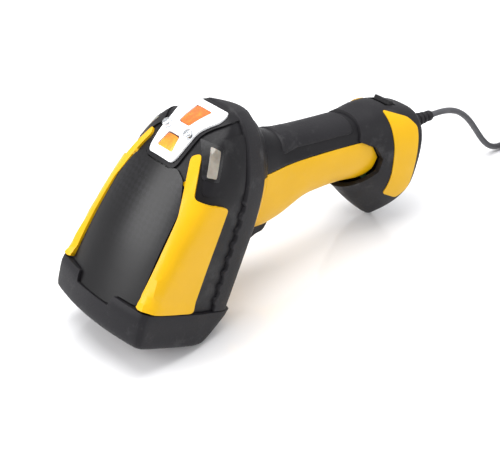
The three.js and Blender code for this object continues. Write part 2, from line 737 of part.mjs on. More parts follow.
function illuminationLens(side) {
  const profile = [[0, 0], [5, 0], [5, 3], [3.6, 5], [0, 5.8]];
  const origin = new THREE.Vector3(-30.4 + GAP, side * 19, 26);
  return turned(profile, origin, new THREE.Vector3(1, 0, 0), 14);
}

function mainBoard() {
  return planPrism(rectangle(56, 38, -71, 0), 4, 5.6, 2);
}

function sounder() {
  const place = new THREE.Vector3(-92, 0, 5.6 + GAP);
  return rod(7, 6, place, UP, 18);
}

function lampBoard() {
  const board = new THREE.BoxGeometry(22, 17, 1.4);
  board.rotateY(-LAMP_TILT);
  board.translate(-101, 0, 24.5);
  return solid(board);
}

function connectorBoard() {
  return planPrism(rectangle(26, 20, -104, 0), -116, -114.4, 1.5);
}

function cableConnector() {
  return block([-112, -5, -122], [-100, 5, -116 - GAP]);
}

// ---------------------------------------------------------------- the scene graph

function piece(name, body, look) {
  const material = new THREE.MeshStandardMaterial(look);
  const mesh = new THREE.Mesh(geometryOf(body), material);
  mesh.name = name;
  return mesh;
}

function pair(name, left, look) {
  return [piece(`${name}_left`, left, look), piece(`${name}_right`, mirrorY(left), look)];
}

function headPieces() {
  return [
    piece('head_casing', headCasing(), BLACK),
    piece('lower_casing', lowerCasing(), YELLOW),
    piece('label_plate', labelPlate(), PLATE),
    ...pair('side_bumper', sideBumper(), YELLOW),
    ...pair('side_cover', sideCover(), PLATE),
    ...pair('side_lens', sideLens(), SMOKE),
    ...pair('side_strip', sideStrip(), RUBBER),
    piece('nose_boot', noseBoot(), RUBBER),
    piece('window_frame', windowFrame(), BLACK),
    piece('scan_window', scanWindow(), GLASS),
    piece('lamp_frame', lampFrame(), BLACK),
    piece('lamp_bezel', lampBezel(), WHITE),
    piece('lamp_lens_front', lampLens(LENS_FRONT), AMBER),
    piece('lamp_lens_rear', lampLens(LENS_REAR), AMBER),
    piece('bezel_screw_left', bezelScrew(1), CHROME),
    piece('bezel_screw_right', bezelScrew(-1), CHROME),
  ];
}

function innerPieces() {
  return [
    piece('imager_block', imagerBlock(), BLACK),
    piece('imager_lens_barrel', imagerBarrel(), BLACK),
    piece('illumination_board', illuminationBoard(), BOARD),
    piece('illumination_lens_left', illuminationLens(1), WHITE),
    piece('illumination_lens_right', illuminationLens(-1), WHITE),
    piece('main_board', mainBoard(), BOARD),
    piece('sounder', sounder(), BLACK),
    piece('lamp_board', lampBoard(), BOARD),
    piece('connector_board', connectorBoard(), BOARD),
    piece('cable_connector', cableConnector(), WHITE),
  ];
}

function triggerPieces() {
  return [
    piece('trigger', trigger(), RUBBER),
    piece('trigger_hinge_pin', triggerHingePin(), STEEL),
    piece('trigger_spring', triggerSpring(), STEEL),
    piece('switch_bracket', switchBracket(), BLACK),
    piece('switch_body', switchBody(), BLACK),
    piece('switch_plunger', switchPlunger(), WHITE),
  ];
}

function handlePieces() {
  const screws = SOLE_SCREWS.map((place, i) => piece(`sole_screw_${i + 1}`, soleScrew(place), STEEL));
  return [
    piece('handle_back_shell', handleBackShell(), BLACK),
    piece('grip_pad', gripPad(), RUBBER),
    piece('foot_boot', footBoot(), RUBBER),
    ...pair('foot_insert', footInsert(), YELLOW),
    piece('lanyard_bar', lanyardBar(), BLACK),
    piece('sole_plate', solePlate(), BLACK),
    ...screws,
    piece('cable_gland', cableGland(), RUBBER),
  ];
}

function leadPieces() {
  return [
    piece('cable', leadAlong(LEAD_ROUTE), LEAD),
    piece('cable_coil', cableCoil(), LEAD),
    piece('cable_tail', leadAlong(tailRoute()), LEAD),
    piece('usb_plug_body', plugBox(PLUG_BODY, 0), BLACK),
    piece('usb_plug_shell', plugShell(), STEEL),
  ];
}

const held = new THREE.Group();
held.add(...headPieces(), ...innerPieces(), ...triggerPieces(), ...handlePieces());
held.rotation.y = REST_PITCH;
held.updateMatrixWorld(true);

const bounds = new THREE.Box3();
held.children.forEach((mesh) => bounds.expandByObject(mesh, true));
const middle = bounds.getCenter(new THREE.Vector3());
held.position.set(-middle.x, -middle.y, -bounds.min.z);
held.updateMatrixWorld(true);

const glandEnd = GLAND_BASE.clone().addScaledVector(GLAND_AXIS, GLAND_LENGTH);
const lead = new THREE.Group();
lead.add(...leadPieces());
lead.position.x = held.localToWorld(glandEnd).x;

const scanner = new THREE.Group();
scanner.add(held, lead);

export default scanner;
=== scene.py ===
"""Handheld barcode scanner lying on its nose and foot: the looks over the fixed model."""

import json
import logging
import math
from dataclasses import dataclass, field
from enum import Enum
from typing import Callable, Sequence

import bmesh
import bpy
from bpy.types import Light, Material, Mesh, Node, NodeSocket, Object
from mathutils import Matrix, Vector
from mathutils.bvhtree import BVHTree

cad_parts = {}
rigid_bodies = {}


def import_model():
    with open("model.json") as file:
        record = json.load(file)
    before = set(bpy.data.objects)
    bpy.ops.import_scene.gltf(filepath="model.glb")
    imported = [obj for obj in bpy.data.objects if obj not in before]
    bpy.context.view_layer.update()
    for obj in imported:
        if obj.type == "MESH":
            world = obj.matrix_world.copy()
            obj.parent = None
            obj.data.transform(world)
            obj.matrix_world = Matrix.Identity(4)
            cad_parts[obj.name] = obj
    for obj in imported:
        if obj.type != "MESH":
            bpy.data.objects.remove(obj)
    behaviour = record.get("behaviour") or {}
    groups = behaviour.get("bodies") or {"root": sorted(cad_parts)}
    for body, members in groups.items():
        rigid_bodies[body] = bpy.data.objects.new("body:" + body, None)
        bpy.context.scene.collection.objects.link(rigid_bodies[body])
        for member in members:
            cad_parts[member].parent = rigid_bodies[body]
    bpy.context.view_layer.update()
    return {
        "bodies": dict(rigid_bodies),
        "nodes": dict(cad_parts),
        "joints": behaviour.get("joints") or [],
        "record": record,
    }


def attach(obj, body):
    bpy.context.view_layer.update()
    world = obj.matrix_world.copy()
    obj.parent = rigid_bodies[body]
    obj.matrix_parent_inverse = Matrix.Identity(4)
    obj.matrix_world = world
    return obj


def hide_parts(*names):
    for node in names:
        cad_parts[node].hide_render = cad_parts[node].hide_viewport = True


logging.basicConfig(level=logging.INFO, format="%(message)s")
LOG = logging.getLogger("scanner")

Pair = tuple[float, float]
Triple = tuple[float, float, float]
Placer = Callable[[float, float], Vector]
Station = tuple[float, tuple[Pair, ...]]

MM_PER_M = 1000
CLEAR_MM = 150.0  # a distance that clears every surface of the scanner
HALVINGS = 24  # steps of a search by halving
HIDDEN_MM = 1.4  # how far a black shell is drawn in where a yellow one covers it
BLEND_MM = 0.5  # the length over which it is drawn in


class Body(Enum):
    """The rigid bodies that pieces ride on."""

    SCANNER = "scanner"
    TRIGGER = "trigger"
    PLUNGER = "switch_plunger"


class Slot(Enum):
    """The record's material slots."""

    YELLOW = "yellow_casing"
    BLACK = "black_casing"
    RUBBER = "rubber"
    LABEL = "label_black"
    WHITE = "white_plastic"
    AMBER = "amber_lens"
    SMOKE = "smoke_lens"
    SCREW = "bright_screw"
    STEEL = "steel"
    GLASS = "window_glass"
    BOARD = "circuit_board"
    CABLE = "cable_jacket"


# ------------------------------------------------------------------ small helpers


def linear(colour: str) -> tuple[float, float, float, float]:
    """Turns an sRGB hex colour into linear RGBA.

    Args:
        colour: six hex digits.

    Returns:
        The colour with full alpha.
    """
    parts = [int(colour[i:i + 2], 16) / 255 for i in (0, 2, 4)]
    low = [c / 12.92 if c <= 0.04045 else ((c + 0.055) / 1.055) ** 2.4 for c in parts]
    return (low[0], low[1], low[2], 1.0)


def mix(a: float, b: float, t: float) -> float:
    """Returns the value a fraction t of the way from a to b."""
    return a + (b - a) * t


def smooth(t: float) -> float:
    """Returns an eased copy of t, held between 0 and 1."""
    t = min(1.0, max(0.0, t))
    return t * t * (3 - 2 * t)


def curve_at(points: Sequence[Sequence[float]], t: float, closed: bool = False) -> list[float]:
    """Reads a smooth curve that passes through every point.

    Args:
        points: the points, each with any number of coordinates.
        t: 0 at the first point and 1 at the last, or back at the first if closed.
        closed: whether the curve joins its own start.

    Returns:
        The coordinates at t.
    """
    count = len(points)
    spans = count if closed else count - 1
    place = min(max(t, 0.0), 1.0) * spans
    index = min(int(place), spans - 1)
    f = place - index

    def pick(i: int) -> Sequence[float]:
        """Returns a point, wrapped or held at the ends."""
        return points[i % count] if closed else points[min(max(i, 0), count - 1)]

    p0, p1, p2, p3 = (pick(index + k) for k in (-1, 0, 1, 2))
    return [
        0.5 * (2 * b + (c - a) * f + (2 * a - 5 * b + 4 * c - d) * f * f
               + (3 * b - a - 3 * c + d) * f ** 3)
        for a, b, c, d in zip(p0, p1, p2, p3)
    ]


def table_at(rows: Sequence[Pair], x: float) -> float:
    """Reads a table with straight lines between its rows, and its ends held.

    Args:
        rows: rows of (x, value), sorted by falling x.
        x: where to read it.

    Returns:
        The value at x.
    """
    if x >= rows[0][0]:
        return rows[0][1]
    for (x0, a), (x1, b) in zip(rows, rows[1:]):
        if x >= x1:
            return mix(a, b, (x - x0) / (x1 - x0))
    return rows[-1][1]


def rounded(outline: Sequence[Pair], radius: float, steps: int = 4) -> list[Pair]:
    """Rounds the corners of an outline.

    Args:
        outline: its corners in order.
        radius: how far each rounding reaches along its sides, in millimetres.
        steps: segments in each rounding.

    Returns:
        The rounded outline.
    """
    made: list[Pair] = []
    for i, corner in enumerate(outline):
        here = Vector(corner)
        before = Vector(outline[i - 1]) - here
        after = Vector(outline[(i + 1) % len(outline)]) - here
        reach = min(radius, 0.45 * before.length, 0.45 * after.length)
        start, end = here + before.normalized() * reach, here + after.normalized() * reach
        for k in range(steps + 1):
            t = k / steps
            point = start * (1 - t) ** 2 + here * 2 * t * (1 - t) + end * t * t
            made.append((point.x, point.y))
    return made


def resampled(outline: Sequence[Pair], step: float) -> list[Pair]:
    """Adds points along the sides of an outline.

    Args:
        outline: its points in order.
        step: the longest side that is left.

    Returns:
        The outline with more points.
    """
    made: list[Pair] = []
    for i, start in enumerate(outline):
        end = outline[(i + 1) % len(outline)]
        pieces = max(1, math.ceil(math.dist(start, end) / step))
        made += [(mix(start[0], end[0], k / pieces), mix(start[1], end[1], k / pieces))
                 for k in range(pieces)]
    return made


def grown(outline: Sequence[Pair], amount: float) -> list[Pair]:
    """Moves each corner of an outline outwards from its middle by an amount on each axis."""
    mid = [sum(p[k] for p in outline) / len(outline) for k in (0, 1)]
    return [(x + math.copysign(amount, x - mid[0]), y + math.copysign(amount, y - mid[1]))
            for x, y in outline]


def superellipse(angle: float, power: float) -> Pair:
    """Returns the point of a unit superellipse at an angle; a power of 2 gives a circle."""
    c, s = math.cos(angle), math.sin(angle)
    return (math.copysign(abs(c) ** (2 / power), c), math.copysign(abs(s) ** (2 / power), s))


def ring_at(stations: Sequence[Station], along: float) -> list[list[float]]:
    """Reads a closed section between stations of x and the left half's points (y, z).

    Args:
        stations: the stations in order.
        along: a fraction of the way from the first station to the last.

    Returns:
        The points (x, y, z) from the crown, down the left side and up the right.
    """
    left = [curve_at([(x, *points[k]) for x, points in stations], along)
            for k in range(len(stations[0][1]))]
    return left + [[x, -y, z] for x, y, z in reversed(left[1:-1])]


def last_held(holds: Callable[[float], bool], high: float) -> float:
    """Finds where a test that holds at zero stops holding.

    Args:
        holds: the test.
        high: a value at which it no longer holds.

    Returns:
        The last value tried at which it held.
    """
    low = 0.0
    for _ in range(HALVINGS):
        middle = (low + high) / 2
        if holds(middle):
            low = middle
        else:
            high = middle
    return low


def placed(name: str, data: bpy.types.ID) -> Object:
    """Makes an object of some data and puts it in the scene."""
    made = bpy.data.objects.new(name, data)
    bpy.context.scene.collection.objects.link(made)
    return made


# ------------------------------------------------------------------ the resting pose


@dataclass(frozen=True)
class Rest:
    """Turns the held frame, in millimetres, into the resting frame, in metres.

    In the held frame x runs towards the window, y to the left and z up through the label.
    """

    pitch: float
    origin: Vector

    @classmethod
    def read(cls, frame: dict) -> "Rest":
        """Finds the pose from the trigger's hinge and the switch's axis.


        Returns:
            The resting pose.
        """
        joints = {j["name"]: j for j in frame["joints"]}
        axis = joints["switch_press"]["axis"]
        pitch = math.atan2(axis[2], -axis[0])
        hinge = Vector(joints["trigger_pull"]["pos_m"])
        turned = Matrix.Rotation(pitch, 4, "Y") @ (Vector(TriggerUnit.hinge) * (1 / MM_PER_M))
        return cls(pitch, hinge - turned)

    @property
    def matrix(self) -> Matrix:
        """The matrix from held millimetres to resting metres."""
        turn = Matrix.Rotation(self.pitch, 4, "Y")
        return Matrix.Translation(self.origin) @ turn @ Matrix.Scale(1 / MM_PER_M, 4)


# ------------------------------------------------------------------ finishes


def add(tree: bpy.types.NodeTree, kind: str, links: dict | None = None, **settings) -> Node:
    """Adds a node.

    Args:
        tree: the material's node tree.
        kind: the node's type.
        links: socket names to a value or to another node's output.
        settings: the node's own properties.

    Returns:
        The new node.
    """
    made = tree.nodes.new(kind)
    for name, value in settings.items():
        setattr(made, name, value)
    for name, value in (links or {}).items():
        socket = made.inputs[name]
        if isinstance(value, NodeSocket):
            tree.links.new(value, socket)
        else:
            socket.default_value = value
    return made


def blank(name: str) -> tuple[Material, bpy.types.NodeTree, NodeSocket]:
    """Makes a material with only its output and the place that its textures read.

    Args:
        name: the material's name.

    Returns:
        The material, its node tree and the place of each point on the object.
    """
    made = bpy.data.materials.new(name)
    made.use_nodes = True
    tree = made.node_tree
    tree.nodes.clear()
    add(tree, "ShaderNodeOutputMaterial")
    return made, tree, add(tree, "ShaderNodeTexCoord").outputs["Object"]


def shaded(made: Material, values: dict) -> Material:
    """Gives a material its surface.

    Args:
        made: the material.
        values: socket names of the surface to a value or to another node's output.

    Returns:
        The same material.
    """
    tree = made.node_tree
    shader = add(tree, "ShaderNodeBsdfPrincipled", values)
    output = next(n for n in tree.nodes if n.type == "OUTPUT_MATERIAL")
    tree.links.new(shader.outputs[0], output.inputs["Surface"])
    return made


def noise(tree: bpy.types.NodeTree, place: NodeSocket, scale: float, detail: float,
          rough: float = 0.5) -> NodeSocket:
    """Adds cloudy noise, with its scale in clouds per metre, and returns its value."""
    made = add(tree, "ShaderNodeTexNoise", {"Vector": place, "Scale": scale,
                                            "Detail": detail, "Roughness": rough})
    return made.outputs[0]


def relief(tree: bpy.types.NodeTree, height: NodeSocket, depth: float, strength: float
           ) -> NodeSocket:
    """Adds a fine relief, with its depth in metres, and returns its normal."""
    made = add(tree, "ShaderNodeBump", {"Height": height, "Distance": depth,
                                        "Strength": strength})
    return made.outputs[0]


def spread(tree: bpy.types.NodeTree, value: NodeSocket, low: float, high: float,
           to_low: float = 0.0, to_high: float = 1.0) -> NodeSocket:
    """Stretches a range of a value onto another range, with both ends held.

    Args:
        tree: the material's node tree.
        value: the value.
        low: the start of its range.
        high: the end of its range.
        to_low: what the start becomes.
        to_high: what the end becomes.

    Returns:
        The stretched value.
    """
    made = add(tree, "ShaderNodeMapRange", {"Value": value, "From Min": low, "From Max": high,
                                            "To Min": to_low, "To Max": to_high})
    return made.outputs["Result"]


def tint(tree: bpy.types.NodeTree, factor: NodeSocket, a: object, b: object) -> NodeSocket:
    """Mixes two colours.

    Args:
        tree: the material's node tree.
        factor: 0 for the first colour and 1 for the second.
        a: the first, as a colour or a node's output.
        b: the second, in the same way.

    Returns:
        The mixed colour.
    """
    made = tree.nodes.new("ShaderNodeMix")
    made.data_type = "RGBA"
    colour = [s for s in made.inputs if s.type == "RGBA"]
    tree.links.new(factor, made.inputs[0])
    for socket, value in zip(colour, (a, b)):
        if isinstance(value, NodeSocket):
            tree.links.new(value, socket)
        else:
            socket.default_value = value
    return next(s for s in made.outputs if s.type == "RGBA")


@dataclass(frozen=True)
class Moulded:
    """An injection-moulded plastic or rubber with a spark-eroded mould grain.

    The grain breaks up the highlight, a slow drift keeps large faces from looking flat, and
    faint rubbing shows as paler patches.
    """

    name: str
    colour: str
    drift: str
    roughness: float
    grain_mm: float = 0.7
    grain_depth_mm: float = 0.02
    rub: float = 0.06
    coat: float = 0.0
    gloss: float = 0.2

    def material(self) -> Material:
        """Builds the material."""
        made, tree, place = blank(self.name)
        slow = noise(tree, place, 22.0, 3.0)
        grain = noise(tree, place, MM_PER_M / self.grain_mm, 3.0, 0.6)
        rubbed = noise(tree, place, 70.0, 6.0, 0.7)
        patch = spread(tree, rubbed, 0.55, 0.75, 0.0, self.rub)
        base = tint(tree, spread(tree, slow, 0.3, 0.7), linear(self.colour),
                    linear(self.drift))
        base = tint(tree, patch, base, (1.0, 1.0, 1.0, 1.0))
        return shaded(made, {
            "Base Color": base, "Specular IOR Level": self.gloss, "Coat Weight": self.coat,
            "Coat Roughness": 0.12,
            "Roughness": spread(tree, grain, 0.3, 0.7, self.roughness - 0.05,
                                self.roughness + 0.07),
            "Normal": relief(tree, grain, self.grain_depth_mm / MM_PER_M, 0.5)})


@dataclass(frozen=True)
class LabelFilm:
    """A printed polyester label with a faint woven-fibre pattern towards its rear.

    The film is glossy and slightly uneven, and the weave is 2.4 mm across a tow, coarser than
    real cloth so that it can be seen.
    """

    pitch: float
    name: str = "printed polyester label"
    tow_mm: float = 2.4

    def material(self) -> Material:
        """Builds the material."""
        made, tree, place = blank(self.name)
        held = add(tree, "ShaderNodeMapping", {
            "Vector": place, "Rotation": (0.0, -self.pitch, 0.0)}, vector_type="POINT")
        turned = add(tree, "ShaderNodeMapping", {
            "Vector": held.outputs[0], "Rotation": (0.0, 0.0, math.radians(45))})
        check = add(tree, "ShaderNodeTexChecker", {
            "Vector": turned.outputs[0], "Scale": MM_PER_M / self.tow_mm,
            "Color1": linear("050506"), "Color2": linear("1d1c20")})
        tow = add(tree, "ShaderNodeTexWave", {
            "Vector": turned.outputs[0], "Scale": MM_PER_M / self.tow_mm * 0.9,
            "Distortion": 0.4})
        parts = add(tree, "ShaderNodeSeparateXYZ", {"Vector": held.outputs[0]})
        slow = noise(tree, place, 45.0, 4.0)
        rear = spread(tree, parts.outputs["X"], 0.005, -0.055, 0.0, 1.0)
        patchy = spread(tree, slow, 0.42, 0.6, 0.25, 1.0)
        amount = add(tree, "ShaderNodeMath", {0: rear, 1: patchy}, operation="MULTIPLY")
        woven = tint(tree, spread(tree, tow.outputs[1], 0.0, 1.0, 0.0, 0.5),
                     check.outputs["Color"], linear("0c0b0e"))
        base = tint(tree, amount.outputs[0], linear("09080a"), woven)
        return shaded(made, {
            "Base Color": base, "Roughness": 0.33, "Specular IOR Level": 0.3,
            "Normal": relief(tree, slow, 0.0004, 0.25)})


@dataclass(frozen=True)
class TintedLens:
    """A clear tinted polycarbonate lens over a reflector, with painted light: paler lower down
    and deeper higher up.
    """

    name: str
    deep: str
    pale: str
    start: float
    end: float
    glow: float = 0.0
    rib_mm: float = 1.3

    def material(self) -> Material:
        """Builds the material."""
        made, tree, place = blank(self.name)
        parts = add(tree, "ShaderNodeSeparateXYZ", {"Vector": place})
        # painted light: the colour runs from pale below the start height to deep above the end
        # height
        painted_light_fade = spread(tree, parts.outputs["Z"], self.start, self.end)
        cloud = noise(tree, place, 190.0, 2.0)
        both = add(tree, "ShaderNodeMath", {
            0: painted_light_fade, 1: spread(tree, cloud, 0.3, 0.7, -0.35, 0.35)}, operation="ADD",
            use_clamp=True)
        base = tint(tree, both.outputs[0], linear(self.pale), linear(self.deep))
        rib = add(tree, "ShaderNodeTexWave", {"Vector": place, "Scale": 160 / self.rib_mm},
                  bands_direction="Y")
        return shaded(made, {
            "Base Color": base, "Roughness": 0.16, "IOR": 1.58, "Coat Weight": 0.6,
            "Coat Roughness": 0.05, "Subsurface Weight": 0.25, "Subsurface Scale": 0.003,
            "Emission Color": base, "Emission Strength": self.glow,
            "Normal": relief(tree, rib.outputs[1], 0.00012, 0.35)})


@dataclass(frozen=True)
class BareMetal:
    """A plated or brushed metal with fine directional marks."""

    name: str
    colour: str
    roughness: float
    mark_mm: float = 0.4

    def material(self) -> Material:
        """Builds the material."""
        made, tree, place = blank(self.name)
        drawn = add(tree, "ShaderNodeMapping", {"Vector": place, "Scale": (0.15, 1.0, 1.0)})
        marks = noise(tree, drawn.outputs[0], MM_PER_M / self.mark_mm, 2.0)
        return shaded(made, {
            "Base Color": linear(self.colour), "Metallic": 1.0,
            "Normal": relief(tree, marks, 0.00003, 0.4),
            "Roughness": spread(tree, marks, 0.3, 0.7, self.roughness,
                                self.roughness + 0.12)})


@dataclass(frozen=True)
class FilterGlass:
    """The deep red filter glass of the scan window, with a clear reflection."""

    name: str = "red filter glass"

    def material(self) -> Material:
        """Builds the material."""
        made, tree, place = blank(self.name)
        haze = noise(tree, place, 90.0, 4.0)
        base = tint(tree, spread(tree, haze, 0.3, 0.7), linear("2b0709"), linear("4a0d11"))
        return shaded(made, {
            "Base Color": base, "IOR": 1.52, "Coat Weight": 1.0, "Coat Roughness": 0.02,
            "Roughness": spread(tree, haze, 0.3, 0.7, 0.04, 0.1)})


@dataclass(frozen=True)
class CircuitBoard:
    """Green solder mask over copper tracks about 0.6 mm wide."""

    name: str = "solder-masked circuit board"
    track_mm: float = 1.8

    def material(self) -> Material:
        """Builds the material."""
        made, tree, place = blank(self.name)
        cells = add(tree, "ShaderNodeTexVoronoi", {
            "Vector": place, "Scale": MM_PER_M / self.track_mm}, distance="MANHATTAN")
        lines = spread(tree, cells.outputs["Distance"], 0.32, 0.38)
        base = tint(tree, lines, linear("1f5a36"), linear("3f8a55"))
        return shaded(made, {
            "Base Color": base, "Roughness": 0.35,
            "Normal": relief(tree, lines, 0.00006, 0.5)})


@dataclass(frozen=True)
class StudioSheet:
    """The pale, faintly glossy table sheet under the scanner."""

    name: str = "white acrylic sheet"

    def material(self) -> Material:
        """Builds the material."""
        made, tree, place = blank(self.name)
        haze = noise(tree, place, 3.0, 2.0)
        return shaded(made, {
            "Base Color": linear("f3f3f4"), "IOR": 1.9,
            "Roughness": spread(tree, haze, 0.3, 0.7, 0.06, 0.09)})


@dataclass
class Paints:
    """Every finish of the scanner, made once."""

    rest: Rest
    made: dict[Slot, Material] = field(default_factory=dict)

    def __post_init__(self) -> None:
        """Builds the materials."""
        finishes = {
            Slot.YELLOW: Moulded("yellow moulded ABS", "d3a203", "dba907", 0.36, 0.8, 0.012,
                                 0.01, coat=0.1),
            Slot.BLACK: Moulded("black moulded ABS", "0f0e11", "161518", 0.42, 0.8, 0.03, 0.02),
            Slot.RUBBER: Moulded("charcoal moulded rubber", "19181b", "201f22", 0.52, 0.9,
                                 0.05, 0.03),
            Slot.LABEL: LabelFilm(self.rest.pitch),
            Slot.WHITE: Moulded("white polycarbonate", "f3f4f6", "fafbfd", 0.22, 0.9, 0.004,
                                0.0, coat=0.4),
            # for each lens, the two heights in metres between which its painted light fades
            # from pale to deep
            Slot.AMBER: TintedLens("amber polycarbonate", "c8641c", "f2a01c", 0.101, 0.112,
                                   glow=0.12),
            Slot.SMOKE: TintedLens("smoked polycarbonate", "6f695e", "928b80", 0.095, 0.106),
            Slot.SCREW: BareMetal("bright nickel plate", "dcdfe2", 0.14),
            Slot.STEEL: BareMetal("drawn steel", "a4a7aa", 0.3),
            Slot.GLASS: FilterGlass(),
            Slot.BOARD: CircuitBoard(),
            Slot.CABLE: Moulded("grey PVC cable jacket", "4a4a4d", "545457", 0.45, 0.6, 0.02,
                                0.05),
        }
        self.made = {slot: finish.material() for slot, finish in finishes.items()}

    def dress(self, piece: Object, slot: Slot) -> None:
        """Gives a piece one finish."""
        piece.data.materials.clear()
        piece.data.materials.append(self.made[slot])

    def dress_node(self, node: Object, slot: Slot) -> None:
        """Gives a node of the fixed model one finish, leaving its mesh alone."""
        for place in node.material_slots:
            place.link = "OBJECT"
            place.material = self.made[slot]


# ------------------------------------------------------------------ making meshes


def sheet(columns: int, rows: int, place: Placer) -> bmesh.types.BMesh:
    """Bends a flat grid into a surface.

    Args:
        columns: faces along the first direction.
        rows: faces along the second direction.
        place: where the grid's point (u, v), each from 0 to 1, goes.

    Returns:
        The surface, with its seams and poles closed.
    """
    made = bmesh.new()
    bmesh.ops.create_grid(made, x_segments=columns, y_segments=rows, size=0.5)
    for vert in made.verts:
        vert.co = place(vert.co.x + 0.5, vert.co.y + 0.5)
    bmesh.ops.remove_doubles(made, verts=made.verts, dist=0.005)
    face_out(made)
    return made


def face_out(made: bmesh.types.BMesh) -> None:
    """Turns every face outwards."""
    bmesh.ops.recalc_face_normals(made, faces=made.faces)


def split(made: bmesh.types.BMesh, point: Triple | Vector, normal: Triple | Vector,
          near: float = 1e-3, clear: bool = False) -> None:
    """Splits a surface along a plane.

    Args:
        made: the surface.
        point: a point of the plane.
        normal: the plane's normal.
        near: how near to the plane a corner counts as lying in it, in millimetres.
        clear: whether what lies on the normal's side is taken away.
    """
    geom = made.verts[:] + made.edges[:] + made.faces[:]
    bmesh.ops.bisect_plane(made, geom=geom, dist=near, plane_co=point, plane_no=normal,
                           clear_outer=clear)


def cut(made: bmesh.types.BMesh, point: Triple, normal: Triple) -> None:
    """Cuts away what lies beyond a plane, on the side that its normal points to."""
    split(made, point, normal, 1e-4, True)


def bridged(made: bmesh.types.BMesh) -> bmesh.types.BMesh:
    """Joins the two open ends of a surface and returns it."""
    bmesh.ops.bridge_loops(made, edges=[e for e in made.edges if e.is_boundary])
    face_out(made)
    return made


def within(outline: Sequence[Pair], x: float, z: float) -> bool:
    """Tells whether a point lies inside an outline.

    Args:
        outline: its points (x, z) in order.
        x: the point's x.
        z: the point's z.

    Returns:
        Whether it does.
    """
    inside = False
    for (x0, z0), (x1, z1) in zip(outline, [*outline[1:], outline[0]]):
        if (z0 > z) != (z1 > z) and x < mix(x0, x1, (z - z0) / (z1 - z0)):
            inside = not inside
    return inside


def trim(made: bmesh.types.BMesh, outline: Sequence[Pair]) -> None:
    """Keeps the part of a surface that lies inside an outline.

    Args:
        made: the surface.
        outline: the outline's points (x, z), seen from the side.
    """
    for (x0, z0), (x1, z1) in zip(outline, [*outline[1:], outline[0]]):
        split(made, (x0, 0, z0), (z1 - z0, 0, x0 - x1))
    beyond = [f for f in made.faces
              if not within(outline, f.calc_center_median().x, f.calc_center_median().z)]
    bmesh.ops.delete(made, geom=beyond, context="FACES")


def thicken(made: bmesh.types.BMesh, thickness: float) -> None:
    """Gives an open surface a wall on its inner side, in millimetres."""
    face_out(made)
    bmesh.ops.solidify(made, geom=made.faces[:], thickness=thickness)
    face_out(made)


def mirrored(made: bmesh.types.BMesh) -> bmesh.types.BMesh:
    """Returns a copy reflected to the scanner's other side."""
    twin = made.copy()
    bmesh.ops.scale(twin, vec=(1, -1, 1), verts=twin.verts)
    bmesh.ops.reverse_faces(twin, faces=twin.faces)
    return twin


def prism(outline: Sequence[Pair], lay: Callable[[float, float], Vector], depth: Vector,
          step: float = 0.0) -> bmesh.types.BMesh:
    """Extrudes an outline.

    Args:
        outline: its points in order.
        lay: where an outline point goes.
        depth: how far and which way it is extruded.
        step: if above zero, the longest side of the outline's own points.

    Returns:
        The closed body.
    """
    points = resampled(outline, step) if step else outline
    made = bmesh.new()
    face = made.faces.new([made.verts.new(lay(a, b)) for a, b in points])
    grown_face = bmesh.ops.extrude_face_region(made, geom=[face])
    verts = [v for v in grown_face["geom"] if isinstance(v, bmesh.types.BMVert)]
    bmesh.ops.translate(made, vec=depth, verts=verts)
    face_out(made)
    return made


def slab(outline: Sequence[Pair], half: float, step: float = 0.0) -> bmesh.types.BMesh:
    """Extrudes an outline of a side view to the same distance on both sides of the middle."""
    return prism(outline, lambda x, z: Vector((x, -half, z)), Vector((0, 2 * half, 0)), step)


def spun(profile: Sequence[Pair], base: Vector, axis: Vector, steps: int = 24
         ) -> bmesh.types.BMesh:
    """Turns a profile round an axis.

    Args:
        profile: points (radius, distance along the axis) from one end to the other.
        base: where the axis starts.
        axis: the way that it points.
        steps: faces in a full turn.

    Returns:
        The closed body.
    """
    made = bmesh.new()
    verts = [made.verts.new((radius, 0, along)) for radius, along in profile]
    edges = [made.edges.new(pair) for pair in zip(verts, verts[1:])]
    bmesh.ops.spin(made, geom=verts + edges, cent=(0, 0, 0), axis=(0, 0, 1),
                   angle=2 * math.pi, steps=steps, use_merge=True)
    bmesh.ops.remove_doubles(made, verts=made.verts, dist=1e-3)
    face_out(made)
    turn = Vector((0, 0, 1)).rotation_difference(axis).to_matrix().to_4x4()
    made.transform(Matrix.Translation(base) @ turn)
    return made


